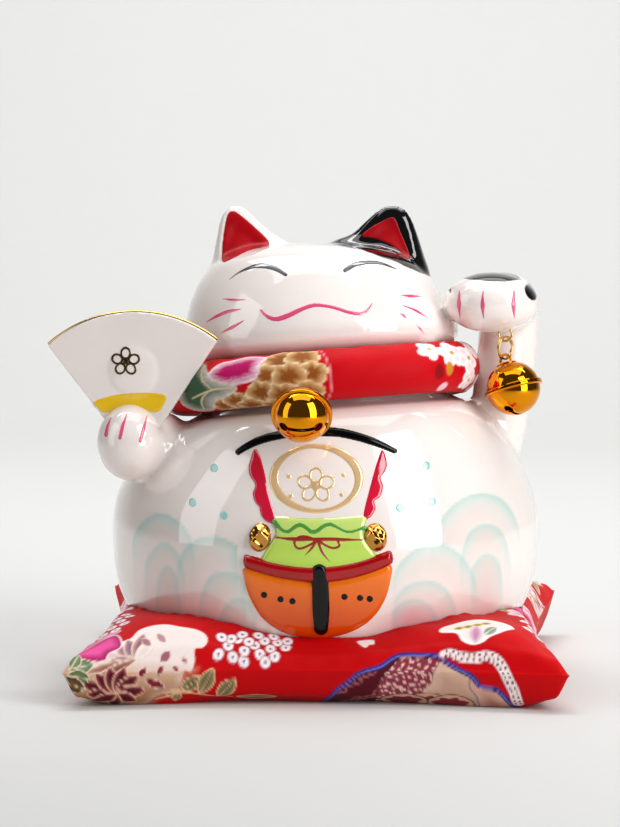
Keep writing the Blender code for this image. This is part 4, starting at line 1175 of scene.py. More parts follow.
def bell_set(prefix, place, body, gold):
    """Both shells, the wire staple and the washer that seats it, at one bell's place."""
    for half in ("upper_shell", "lower_shell"):
        made = bell_shell(prefix + "_pressed_" + half, half == "upper_shell")
        made.data.transform(place)
        dress(made, gold, body, "brass", f"{prefix}_{half}", sharp=45)
    own = sizes("bell_sizes")
    reach, depth, wire = 3.0 * MM, 2.4 * MM, 0.5 * MM
    middle, half = own.radius + (reach - depth) / 2, (reach + depth) / 2
    turn = np.linspace(0, 2 * np.pi, 49)[:-1]
    loop = [place @ Vector((0, 2.4 * MM * math.cos(a), middle + half * math.sin(a))) for a in turn]
    staple = tube(prefix + "_wire_loop", loop, wire, closed=True)
    dress(staple, gold, body, "brass", prefix + "_staple")
    # A pressed washer seats the staple in the crown.
    crown = math.sqrt(own.radius**2 - (3.3 * MM) ** 2)
    washer = turned(
        prefix + "_crown_washer",
        [(2.95 * MM, crown - 0.35 * MM), (3.75 * MM, crown - 0.12 * MM), (3.85 * MM, crown + 0.12 * MM)]
        + [(3.4 * MM, crown + 0.42 * MM), (2.95 * MM, crown + 0.4 * MM)],
        64,
    )
    washer.data.transform(place)
    dress(washer, gold, body, "brass")


def hanging_wires():
    """The eye and the split ring on the paw, and the ring on the collar."""
    gold = plated("pale_gold_wire", ink("e6c582"), haze=0.04)
    low, wire = Vector((67.0, -25.0, 126.3)) * MM, 0.5 * MM
    centre = low + Vector((0, 0, 2.4 * MM))
    turn = np.radians(np.linspace(-125, 125, 41))
    loop = [centre + Vector((2.4 * MM * math.sin(a), 0, -2.4 * MM * math.cos(a))) for a in turn]
    leg = Vector((0, 0, 5.0 * MM))
    made = tube("paw_wire_eye", [loop[0] + leg, *loop, loop[-1] + leg], wire)
    dress(made, gold, "cat", "brass", "paw_eye")
    # A split ring is one wire wound twice.
    across = Vector((math.cos(math.radians(52)), math.sin(math.radians(52)), 0))
    side = Vector((0, 0, 1)).cross(across)
    ring_centre = Vector((67.0, -25.0, 119.7 + 4.1)) * MM
    wind = np.linspace(0.15, 4 * np.pi - 0.15, 121)
    shift = np.interp(wind, [0, 1.75 * np.pi, 2.25 * np.pi, 4 * np.pi], [-0.4, -0.4, 0.4, 0.4])
    coil = [
        ring_centre + across * 4.1 * MM * math.cos(a) + Vector((0, 0, 4.1 * MM * math.sin(a))) + side * s * MM
        for a, s in zip(wind, shift)
    ]
    dress(tube("paw_wound_ring", coil, 0.36 * MM), gold, "paw_ring", "brass", "paw_split_ring")
    near, far = Vector((-5.3, -62.985, 108.618)) * MM, Vector((-5.3, -59.47, 110.527)) * MM
    toward = (far - near).normalized()
    turn = np.linspace(0, 2 * np.pi, 41)[:-1]
    ring = [
        (near + far) / 2 + Vector((1, 0, 0)) * 2.0 * MM * math.cos(a) + toward * 2.0 * MM * math.sin(a)
        for a in turn
    ]
    made = tube("collar_wire_ring", ring, 0.45 * MM, closed=True)
    dress(made, gold, "collar_ring", "brass", "collar_jump_ring")


# ---- sewn and stuffed pieces ----------------------------------------------------------------
def finer(count, times, closed=False):
    """Weights that turn a row of points into a finer, smooth row."""
    spans = count if closed else count - 1
    steps = spans * times + (0 if closed else 1)
    weights = np.zeros((steps, count))
    for row in range(steps):
        i, u = divmod(row, times)
        if not closed and i == spans:
            i, u = spans - 1, times
        u /= times
        shares = (-u + 2 * u**2 - u**3, 2 - 5 * u**2 + 3 * u**3, u + 4 * u**2 - 3 * u**3, u**3 - u**2)
        for k, share in enumerate(shares):
            at = i + k - 1
            at = at % count if closed else min(max(at, 0), count - 1)
            weights[row, at] += share / 2
    return weights


def grid_faces(rows, columns, wrap=False):
    faces = []
    for i in range(rows - 1):
        low, high = i * columns, (i + 1) * columns
        for j in range(columns if wrap else columns - 1):
            n = (j + 1) % columns
            faces.append([low + j, low + n, high + n, high + j])
    return faces


def tube_faces(rows, around):
    """Faces of a closed tube: its rings of points, then one point at each end."""
    faces = grid_faces(rows, around, wrap=True)
    last, end = rows * around, (rows - 1) * around
    faces += [[j, last, (j + 1) % around] for j in range(around)]
    faces += [[end + j, end + (j + 1) % around, last + 1] for j in range(around)]
    return faces


def rim_of(count):
    """Which points of a square grid lie on its rim."""
    rim = np.ones((count, count), bool)
    rim[1:-1, 1:-1] = False
    return rim


def stuff(places, faces, cap, pressure=4.0, frames=20):
    """Where the points go when the sewn cloth is blown up from inside, none further than cap."""
    trial = from_lists("stuffing_trial", places, faces)
    step = trial.modifiers.new("Cloth", "CLOTH")
    step.settings.quality = 6
    step.settings.use_pressure = True
    step.settings.uniform_pressure_force = pressure
    step.settings.tension_stiffness = 18
    step.settings.compression_stiffness = 18
    step.settings.shear_stiffness = 6
    step.settings.bending_stiffness = 0.4
    step.settings.effector_weights.gravity = 0.0
    step.point_cache.frame_start, step.point_cache.frame_end = 1, frames
    scene = bpy.context.scene
    for number in range(1, frames + 1):
        scene.frame_set(number)
    grown = trial.evaluated_get(bpy.context.evaluated_depsgraph_get())
    found = np.array([v.co for v in grown.data.vertices], float)
    bpy.data.objects.remove(trial, do_unlink=True)
    scene.frame_set(1)
    move = found - places
    far = np.linalg.norm(move, axis=1, keepdims=True)
    return places + move * np.minimum(1.0, cap / np.maximum(far, 1e-9))


class Dye:
    """A print on flat cloth: coordinates in millimetres, and a colour at every point."""

    def __init__(self, u, v, ground, rgb=None):
        self.u, self.v = np.asarray(u, np.float32), np.asarray(v, np.float32)
        self.rgb = np.tile(np.array(ground, np.float32), (len(u), 1)) if rgb is None else rgb

    def close(self, place, along, across=None):
        """The part of the print round a place, to be given back with keep."""
        across = across or along
        at = np.flatnonzero((np.abs(self.u - place[0]) < along) & (np.abs(self.v - place[1]) < across))
        part = Dye(self.u[at], self.v[at], None, self.rgb[at])
        part.at = at
        return part

    def keep(self, part):
        self.rgb[part.at] = part.rgb

    def put(self, inside, colour, soft=0.45):
        share = np.clip(inside / soft + 0.5, 0, 1)[:, None]
        self.rgb = self.rgb * (1 - share) + np.asarray(colour) * share

    def faded(self, inside, edge, heart, reach, soft=0.45):
        """Fills a shape with a colour that runs from its edge to its heart."""
        t = np.clip(inside / reach, 0, 1)[:, None]
        self.put(inside, np.array(ink(edge)) * (1 - t) + np.array(ink(heart)) * t, soft)

    def blossom(self, place, size, edge="f7e3e4", heart="e98fb0", turn=0.0, line=None):
        part = self.close(place, size * 1.5)
        for k in range(5):
            a = math.radians(turn + 72 * k)
            at = (place[0] + size * 0.55 * math.cos(a), place[1] + size * 0.55 * math.sin(a))
            shape = oval(part.u, part.v, at, size * 0.52, size * 0.44, math.degrees(a))
            if line:
                part.put(shape + 0.35, ink(line))
            part.faded(shape, edge, heart, size * 0.5)
        part.put(oval(part.u, part.v, place, size * 0.16, size * 0.16), ink("c9972c"))
        self.keep(part)

    def mum(self, place, size, rows, edge, heart, line, turn=0.0):
        """A many-petalled flower, outer rows first."""
        part = self.close(place, size * 1.3)
        for row in range(rows, 0, -1):
            count = 7 + row * 3
            reach = size * row / rows
            for k in range(count):
                a = math.radians(turn + row * 13 + 360 * k / count)
                tip = (place[0] + reach * math.cos(a), place[1] + reach * math.sin(a))
                root = (place[0] + reach * 0.25 * math.cos(a), place[1] + reach * 0.25 * math.sin(a))
                shape = leaf(part.u, part.v, root, tip, size * 1.35 / (rows + 3.2))
                part.put(shape + 0.35, ink(line))
                part.faded(shape, edge, heart, size * 0.16)
        part.put(oval(part.u, part.v, place, size * 0.12, size * 0.12), ink("c9a23c"))
        self.keep(part)

    def foliage(self, base, tip, wide, edge, heart, line="f0d9b0"):
        middle = ((base[0] + tip[0]) / 2, (base[1] + tip[1]) / 2)
        part = self.close(middle, math.dist(base, tip) * 0.6 + wide + 1)
        shape = leaf(part.u, part.v, base, tip, wide)
        part.put(shape + 0.4, ink(line))
        part.faded(shape, edge, heart, wide)
        part.put(stroke(part.u, part.v, [base, tip], [0.22, 0.1], 4), ink(line))
        self.keep(part)

    def dapples(self, places, wide, tall):
        """Tie-dyed rings: white ovals round a dark heart."""
        for k, place in enumerate(places):
            part = self.close(place, max(wide, tall) + 1.2)
            shape = oval(part.u, part.v, place, wide, tall, (k * 47) % 50 - 25)
            part.put(shape + 0.3, ink("a8304a"))
            part.put(shape, ink("f6ecef"))
            part.put(oval(part.u, part.v, place, wide * 0.26, tall * 0.26), ink("5b1a3a"))
            self.keep(part)


def belly_under(r):
    side = cat_side()
    low = side[side[:, 1] < 60]
    return np.interp(r, low[:, 0], low[:, 1])


def cushion_coarse(cells):
    """Shares across and along, places, and the two panels' heights, before the stuffing."""
    own = sizes("cushion_sizes")
    waist, pull = own.waist / MM, (own.tip - own.waist) / MM
    line = np.sin(np.pi / 2 * np.linspace(-1, 1, cells + 1)) * 0.45 + np.linspace(-1, 1, cells + 1) * 0.55
    s, t = np.meshgrid(line, line)
    x, y = s * (waist - 0.6 + pull * t * t), t * (waist - 0.6 + pull * s * s)
    corner = (s * t) ** 2
    back = ease(-0.2, 0.8, t)
    seam = own.seam / MM + corner * (3.0 + 5.5 * back)
    dome = np.maximum((1 - s**4) * (1 - t**4), 0) ** (0.34 - 0.12 * corner)
    pressed = np.exp(-(((x - 3) / 30) ** 2)) * ease(10, -60, y)
    crown = own.crown / MM - 6.8 * pressed - 1.5 * np.exp(-(((x - 3) / 34) ** 2)) * ease(20, 70, y)
    top = seam + (crown - seam) * dome
    low = np.maximum(seam - (seam + 4.0) * dome, 0.0)
    return s, t, x, y, top, low


def cushion_clear(x, y, z, top):
    """Keeps the cloth under the belly and above the table."""
    if not top:
        return np.maximum(z, 0.15)
    r = np.hypot(x, y / BELLY_DEPTH)
    gap = 0.45 + 0.3 * ease(44, 50, r)
    return np.where(r < 79, np.minimum(z, belly_under(np.maximum(r, 20)) - gap), z)


CUSHION_NODES = ("cushion_top_panel", "cushion_bottom_panel", "cushion_filling")


def stuffed_cushion():
    """Two square panels sewn at their rims, blown up, smoothed and printed."""
    cells, times = 36, 10
    s, t, x, y, top, low = cushion_coarse(cells)
    n = cells + 1
    upper = np.stack([x, y, cushion_clear(x, y, top, True)], axis=-1)
    lower = np.stack([x, y, low], axis=-1)
    rim = rim_of(n)
    index = np.arange(n * n).reshape(n, n)
    under = np.full((n, n), -1)
    under[rim] = index[rim]
    under[~rim] = n * n + np.arange((~rim).sum())
    places = np.vstack([upper.reshape(-1, 3), lower[~rim]])
    faces = grid_faces(n, n)
    for i in range(n - 1):
        for j in range(n - 1):
            faces.append([under[i, j], under[i + 1, j], under[i + 1, j + 1], under[i, j + 1]])
    grown = stuff(places * MM, [[int(k) for k in f] for f in faces], 4 * MM) / MM
    # Sewing keeps the corners on their plan while the panels swell.
    held = (np.abs(s * t) ** 3)[..., None]
    upper = grown[: n * n].reshape(n, n, 3)
    upper[..., :2] += (places[: n * n].reshape(n, n, 3) - upper)[..., :2] * held
    lower = grown[under.ravel()].reshape(n, n, 3)
    lower[..., :2] += (places[under.ravel()].reshape(n, n, 3) - lower)[..., :2] * held
    weights = finer(n, times)
    m = len(weights)

    def fine(field):
        return np.einsum("ai,bj,ijk->abk", weights, weights, field)

    panels = []
    for sheet, is_top in ((upper, True), (lower, False)):
        cloth_places = fine(sheet)
        px, py, pz = (cloth_places[..., k] for k in range(3))
        ss, tt = fine(np.stack([s, t, t], axis=-1))[..., :2].transpose(2, 0, 1)
        edge = 1 - np.maximum(np.abs(ss), np.abs(tt))
        corner = np.abs(ss * tt) ** 3
        turn = np.arctan2(py, px)
        pleats = np.sin(turn * 46) * 0.35 * np.exp(-edge * 26)
        pleats = pleats + np.sin(turn * 74) * 0.7 * corner * np.exp(-edge * 9)
        slack = np.sin(px * 0.11 + 1.3) * np.cos(py * 0.09 + 0.4) * 0.9 + np.sin(px * 0.21 + py * 0.17) * 0.35
        lift = (pleats + slack * ease(0, 0.16, edge)) * (1 if is_top else -0.6)
        pz = cushion_clear(px, py, pz + lift * ease(0, 0.02, edge), is_top)
        panels.append(np.stack([px, py, pz], axis=-1))
    own = sizes("cushion_sizes")
    for panel in panels:
        panel[..., 0] = np.clip(panel[..., 0], -own.tip / MM, own.tip / MM)
        panel[..., 1] = np.clip(panel[..., 1], -own.tip / MM, own.tip / MM)
    rim = rim_of(m)
    joined = (panels[0] + panels[1]) / 2
    for panel in panels:
        panel[rim] = joined[rim]
    index = np.arange(m * m).reshape(m, m)
    under = np.where(rim, index, 0)
    under[~rim] = m * m + np.arange((~rim).sum())
    places = np.vstack([panels[0].reshape(-1, 3), panels[1][~rim]]) * MM
    faces = grid_faces(m, m)
    a, b, c, d = under[:-1, :-1], under[1:, :-1], under[1:, 1:], under[:-1, 1:]
    faces += np.stack([a, b, c, d], axis=-1).reshape(-1, 4).tolist()
    made = from_lists("stuffed_cushion", places, faces)
    # Flat pattern: u across, v along the cloth from the front seam, minus on the bottom panel.
    flat = []
    for panel, sign in zip(panels, (1, -1)):
        steps = np.linalg.norm(np.diff(panel, axis=0), axis=2)
        v = np.vstack([np.zeros(m), np.cumsum(steps, axis=0)]) * sign
        flat.append(np.stack([panel[..., 0], v], axis=-1))
    uv = np.vstack([flat[0].reshape(-1, 2), flat[1][~rim]])
    lay_pattern(made, uv, flat[1].reshape(-1, 2), under.ravel(), (m - 1) ** 2)
    dye = Dye(uv[:, 0], uv[:, 1], tuple(own.ground))
    cushion_print(dye)
    paint_points(made, "print", dye.rgb)
    dress(made, cloth("cushion_crepe"), "cushion", "brocade", *CUSHION_NODES, sharp=70)


def lay_pattern(made, uv, second_uv=None, second_index=None, first_faces=None):
    """Writes the flat pattern, in metres, as the UV map; the second panel has its own at the seam."""
    layer = made.data.uv_layers.new(name="pattern")
    corners = np.empty(len(made.data.loops), np.int32)
    made.data.loops.foreach_get("vertex_index", corners)
    found = uv[corners]
    if second_uv is not None:
        back = np.zeros(len(uv), int)
        back[second_index] = np.arange(len(second_index))
        low = np.arange(len(corners)) >= first_faces * 4
        found[low] = second_uv[back[corners[low]]]
    layer.data.foreach_set("uv", (found * MM).astype(np.float32).ravel())


def cushion_print(cloth_dye):
    scattered(cloth_dye)
    dye = cloth_dye.close((0, 5), 99, 30)
    u, v = dye.u, dye.v
    cream = [(-93, 2), (-90, 9), (-84, 9), (-74, 10), (-69.7, 12), (-65.5, 13.4), (-63, 17), (-58.8, 18.6)]
    cream += [(-54, 18.6), (-48.8, 17.2), (-43.5, 16.4), (-39.8, 14.4), (-38.6, 11.4), (-40, 8.4), (-43, 7.8)]
    cream += [(-42.9, 3.4), (-44.2, -0.6), (-46.3, 0), (-47.5, -3.6), (-48.3, -6.4), (-52, -8.4),
        (-57, -10.6)]
    cream += [(-62, -16), (-76, -20), (-92, -16)]
    shape = rounded(u, v, cream, 160)
    dye.put(shape, ink("f3e3df"))
    # Painted shade: the cream darkens to tan towards the seam and to brown down the bottom panel, where the
    # cloth turns under.
    underside_shade = np.minimum(shape, 2.6 - v - (u + 70) * 0.12)
    dye.put(underside_shade, ink("cfa486"), 6)
    dye.put(np.minimum(shape, -6 - v), ink("a97552"), 6)
    # A chrysanthemum opens from a hub: pale mauve petals above, burgundy ones below.
    hub = (-63.7, 4.5)
    upper_petals = [((-84, 5), 2.0, "f2e2d8", "d8b7a2"), ((-79, 8), 1.9, "f6e8e6", "e2c6c4")]
    upper_petals += [((-70.5, 10), 2.0, "c9a2a8", "9c6f7c"), ((-66.8, 12.6), 2.2, "b9929c", "8c6474")]
    upper_petals += [((-61.2, 14.6), 2.3, "c8a4a4", "94606a"), ((-57, 12), 2.0, "f5ebe6", "ecdcd4")]
    upper_petals += [((-72.5, 4.2), 1.7, "c79aa2", "935a68"), ((-82, 0), 1.5, "c8a08a", "8a3540")]
    upper_petals += [((-78, -2.5), 1.5, "b98a7c", "6e2230")]
    for tip, wide, edge, heart in upper_petals:
        petal = leaf(u, v, hub, tip, wide)
        dye.put(petal + 0.45, ink("f1d9c8"))
        dye.faded(petal, edge, heart, 1.6)
    low = (-70.5, -8.6)
    lower_petals = [((-83, -3.4), 2.2), ((-80.5, -8.6), 2.3), ((-77.2, -0.4), 2.2), ((-72.6, 2), 2.3)]
    lower_petals += [((-67.4, 1.8), 2.2), ((-62.8, -1.6), 2.2), ((-60.6, -7.6), 2.3), ((-63.8, -13), 2.2)]
    lower_petals += [((-72, -18), 2.3), ((-79.5, -14), 2.3)]
    for tip, wide in lower_petals:
        petal = leaf(u, v, low, tip, wide)
        dye.put(petal + 0.5, ink("e3b79c"))
        dye.faded(petal, "9a4648", "4f0c1c", 1.4)
    loose_petals = [((-61.6, 12.6), (-58.6, 9.6), 1.2, "a8747e")]
    loose_petals += [((-56.4, 14.2), (-53.4, 10.6), 1.1, "b98c94")]
    loose_petals += [((-54.6, 3.2), (-51.8, 7.2), 1.5, "a2636e")]
    loose_petals += [((-55.6, -1.6), (-54.2, 2), 1.0, "8a2c3a")]
    loose_petals += [((-50.4, 1.6), (-48.6, -0.4), 0.8, "9a3c48"), ((-62.2, -2), (-60, 1.4), 1.2, "7c1c2a")]
    loose_petals += [((-60, -3.6), (-53.6, -6.8), 1.5, "7e1e28")]
    loose_petals += [((-47.4, 4.6), (-45.6, 2.8), 0.7, "a8505a")]
    for base, tip, wide, code in loose_petals:
        petal = leaf(u, v, base, tip, wide)
        dye.put(petal + 0.3, ink("f0dcd0"))
        dye.put(petal, ink(code))
    crimson = [(-86.6, 8.6), (-84, 12), (-78, 15.6), (-72.4, 18.6), (-69.6, 14), (-69.2, 9.6), (-73, 7.4)]
    shape = rounded(u, v, [*crimson, (-74.6, 4.8), (-79, 4.8), (-84, 6)])
    dye.put(shape + 0.5, ink("f6dfe6"))
    dye.faded(shape, "a80c5c", "e8549c", 3.4)
    left_leaves = [((-86.6, 1.6), (-78.4, 3.6), 2.6, "8a9a78", "55704a")]
    left_leaves += [((-87, -0.6), (-79.6, -2.4), 2.7, "7f8a62", "4a5c34")]
    left_leaves += [((-86, 2), (-83.4, 7.2), 2.0, "8a9a78", "5c7450")]
    left_leaves += [((-90.4, -2.4), (-81.4, -6.4), 3.0, "7a5a34", "4a2c16")]
    left_leaves += [((-90.6, 0.6), (-88.6, -9), 2.2, "6f5230", "3c2412")]
    for base, tip, wide, edge, heart in left_leaves:
        dye.foliage(base, tip, wide, heart, edge, "ecdcc0")
    ring = [(-34.6, 5.8), (-29.5, 4.8), (-25.6, 3.2), (-31.3, 9.4), (-25.5, 7.4), (-20, 6.2), (-18, 3.1)]
    ring += [(-14.7, 5.4), (-16.4, 9), (-22, 10.2), (-24.1, 12), (-18.6, 13), (-14, 12.9), (-11, 10.2)]
    ring += [(-28, 13), (-30.4, 12.8), (-26.6, 15.6), (-33.8, 13.4), (-21, 16), (-15.6, 16.2), (-10.6, 14)]
    dye.dapples(ring, 1.75, 2.2)
    middle_leaves = [((-47.8, -8.2), (-40.6, -2.6), 2.3), ((-41.4, -9.4), (-36.4, 0.6), 2.4)]
    middle_leaves += [((-35, -11.4), (-28.8, -3.4), 2.4), ((-28.4, -12.6), (-14.6, -12.2), 2.0)]
    middle_leaves += [((-53, -10.4), (-47.6, -8.4), 1.4), ((-50.4, -13.6), (-48.6, -8.6), 1.2)]
    for base, tip, wide in middle_leaves:
        dye.foliage(base, tip, wide, "93855c", "4c4a28", "f0c69c")
    for path in ([(-54, -8.6), (-48, -8.8), (-41, -9.8), (-30, -12.6)],
        [(-57, -12), (-50, -9.6), (-46, -8.8)]):
        dye.put(stroke(u, v, path, [0.3, 0.22], 10), ink("e8b890"))
    medallion(dye)
    ribbon = [(44.8, 6.2), (47.3, 6.9), (50.8, 5.6), (56, 5.2), (60, 6.2), (63.2, 5.2), (65.6, 2.4),
        (67.7, -2.3)]
    ribbon = smooth_curve([*ribbon, (69.8, -7), (71.4, -13)], 40)
    band = stroke(u, v, ribbon, [1.3, 1.9, 1.9, 1.9, 1.9, 1.9], 40)
    dye.put(band + 0.35, ink("9c2444"))
    dye.put(band, ink("f8e2e2"))
    for k, place in enumerate(ribbon[1::2]):
        for off in (-0.85, 0.85):
            run = ribbon[min(2 * k + 3, 39)] - ribbon[min(2 * k + 1, 38)]
            side = np.array([-run[1], run[0]]) / max(np.hypot(*run), 1e-6)
            at = place + side * off + run * (0.25 if off > 0 else 0)
            dye.put(oval(u, v, at, 0.42, 0.55), ink("2c1018"), 0.3)
    bloom = [(43.6, 16), (49.4, 15), (51.5, 11.8), (55, 10.2), (58.6, 11.2), (61.4, 13.8), (65.6, 16.6),
        (70, 21)]
    shape = rounded(u, v, [*bloom, (66, 26), (56, 27), (46, 21)])
    dye.faded(shape, "fbf2ef", "efe0da", 3)
    dye.faded(leaf(u, v, (56, 10.6), (56.8, 20), 2.6), "f0d6e0", "c489ac", 2)
    dye.foliage((59.4, 14.4), (63.6, 19.6), 1.9, "a7aa9c", "6c7868", "f4ece0")
    for k, place in enumerate([(50.4, 18.2), (53.6, 19.2), (57, 20.6), (60, 22.2)]):
        dye.faded(oval(u, v, place, 1.9, 1.3, 20), "d8c470", "857a30", 1.0)
    dye.faded(rounded(u, v, [(14.4, 14.6), (15.6, 12), (17.4, 10.6), (18.6, 12.4), (20.2, 12.6),
        (19.6, 15.2)]), "f8ecea", "eedcd8", 2)
    cloth_dye.keep(dye)


def medallion(dye):
    """A half-moon of patched silks with a blue cord round it."""
    u, v = dye.u, dye.v
    rim = [(-1, -22), (4.3, -13), (7, -8), (12, -3.8), (15.6, -0.6), (22.6, 1.7), (26.8, 4.6), (30.4, 6),
        (36.7, 6)]
    rim += [(42.6, 5.7), (45.6, 3.8), (49.4, 1.4), (55, -1.6), (58, -5.4), (63.2, -6.4), (67, -10), (70, -16)]
    edge = [tuple(p) for p in smooth_curve(rim, 70)]
    shape = region(u, v, [*edge, (70, -34), (0, -34)])
    dye.put(shape + 0.9, ink("2e2a80"))
    dye.put(shape + 0.1, ink("6a6cb8"), 0.3)
    dye.put(shape - 0.5, ink("241a5c"))
    inner = shape - 1.1
    dye.put(inner, ink("54101c"))
    for k in range(22):
        at = (5 + (k * 5.3) % 17, -22 + (k * 3.7) % 23)
        curl = oval(u, v, at, 1.9, 1.6, k * 37)
        dye.put(np.minimum(np.minimum(curl, 0.6 - curl), inner), ink("a8585c"))
    right = np.array([(20.6, -30), (21, -13.8), (22.4, -5), (24.6, -0.6), (28.4, 3.4), (32, 8)])
    middle = np.minimum(inner, region(u, v, [*map(tuple, right), (60, 8), (60, -30)]))
    dye.put(middle + 0.35, ink("3a0c1c"))
    dye.put(middle, ink("8a3446"))
    grains = np.full(u.shape, -1.0)
    for k in range(260):
        at = (20 + (k * 7.37) % 27, -24 + (k * 4.73) % 31)
        a = k * 2.4
        near = np.flatnonzero((np.abs(u - at[0]) < 2.5) & (np.abs(v - at[1]) < 2.5))
        seed = leaf(u[near], v[near], at, (at[0] + 1.5 * math.cos(a), at[1] + 1.5 * math.sin(a)), 0.4)
        grains[near] = np.maximum(grains[near], seed)
    dye.put(np.minimum(grains, middle), ink("f3c4b8"), 0.3)
    taupe = [(43.8, 3.6), (41.3, -1.2), (40.8, -4.8), (38, -7), (36.8, -10.4), (38, -26), (60, -26), (60, 6)]
    taupe = np.minimum(inner, region(u, v, taupe))
    dye.put(taupe + 0.3, ink("4a1830"))
    dye.faded(taupe, "d9b39e", "c39a86", 5)
    tail = np.minimum(inner, region(u, v, [(54.8, 2), (54.2, -6), (57, -10), (60, -26), (76, -26), (70, 4)]))
    dye.put(tail + 0.35, ink("2a2468"))
    dye.faded(tail, "d8a99a", "b98270", 4)
    for place in ((39, -14.6), (47.6, -15.4), (31, -15)):
        flower = np.minimum(oval(u, v, place, 8.2, 5.8), inner)
        dye.put(flower + 0.4, ink("3a1020"))
        dye.put(flower, ink("d9a78c"))
        for k in range(7):
            a = math.radians(51 * k + 20)
            petal = leaf(u, v, place, (place[0] + 7 * math.cos(a), place[1] + 5 * math.sin(a)), 1.9)
            dye.put(np.minimum(petal, inner), ink("8a3038"))


def scattered(dye):
    """Flowers, leaves and tie-dyed rings over the rest of the cloth, well apart."""
    u, v = dye.u, dye.v
    ring_patches = [(-84, 24, 5, 0.5), (77, 30, 5, -0.4), (-80, 96, 4, 0.2), (82, 70, 4, 0)]
    ring_patches += [(-40, 172, 4, 0), (52, 168, 4, 0), (-60, -50, 4, 0), (40, -90, 4, 0), (10, -150, 4, 0)]
    for cx, cy, rows, lean in ring_patches:
        spots = []
        for k in range(rows * 4):
            row, column = divmod(k, 4)
            spots.append((cx + column * 4.6 - 2 + (row % 2) * 2.3 + lean * row, cy + row * 4.4))
        dye.dapples(spots, 1.9, 1.7)
    flowers = [(-82, 56, 12, 20), (-70, 82, 9, 50), (84, 100, 12, 10), (76, 54, 8, 0), (-78, 134, 12, 40)]
    flowers += [(80, 142, 11, 70), (-56, 168, 12, 15), (-10, 166, 10, 30), (34, 172, 12, 5)]
    flowers += [(74, 172, 10, 44), (0, 90, 12, 12), (-62, -34, 12, 3), (-24, -66, 12, 22)]
    flowers += [(26, -40, 13, 35), (66, -66, 12, 48), (-60, -112, 13, 10), (-12, -120, 11, 60)]
    flowers += [(34, -130, 13, 25), (74, -120, 10, 12), (-74, -160, 11, 33), (0, -166, 12, 8)]
    for cx, cy, size, turn in flowers:
        for k in range(2):
            a = math.radians(turn * 3 + 150 * k)
            base = (cx + size * 0.6 * math.cos(a), cy + size * 0.6 * math.sin(a))
            tip = (cx + size * 1.7 * math.cos(a + 0.3), cy + size * 1.7 * math.sin(a + 0.3))
            dye.foliage(base, tip, size * 0.26, "93a070", "4f6a3c", "f0dcc0")
        if int(cx + cy) % 3 == 0:
            dye.mum((cx, cy), size, 3, "f3e2dc", "a84058", "f6e4da", turn)
        else:
            dye.blossom((cx, cy), size, "f8e6ea", "d0488c", turn, "f6dccb")
    for path, code in (
        ([(-96, 8), (-86, 16), (-78, 20), (-71, 21)], "e7a2bc"),
        ([(62, 66), (76, 74), (92, 76)], "e86aa8"),
        ([(64, 88), (80, 92), (94, 86)], "f0b8cc"),
    ):
        swath = stroke(u, v, path, [1.2, 2.6, 2.2, 0.8], 20)
        dye.put(swath + 0.35, ink("f6dfe2"))
        dye.faded(swath, code, "d8508c", 2)


def collar_centre(angle, wide):
    """The middle of the collar's tube at an angle round the neck, in degrees."""
    out = wide + 1.35
    x = (NECK_RADIUS + out) * np.cos(np.radians(angle))
    y = (NECK_RADIUS * NECK_DEPTH + out) * np.sin(np.radians(angle)) - HEAD_FORWARD
    return np.stack([x, y, COLLAR_HEIGHT + x * SIDE_TILT - y * FRONT_TILT], axis=-1)


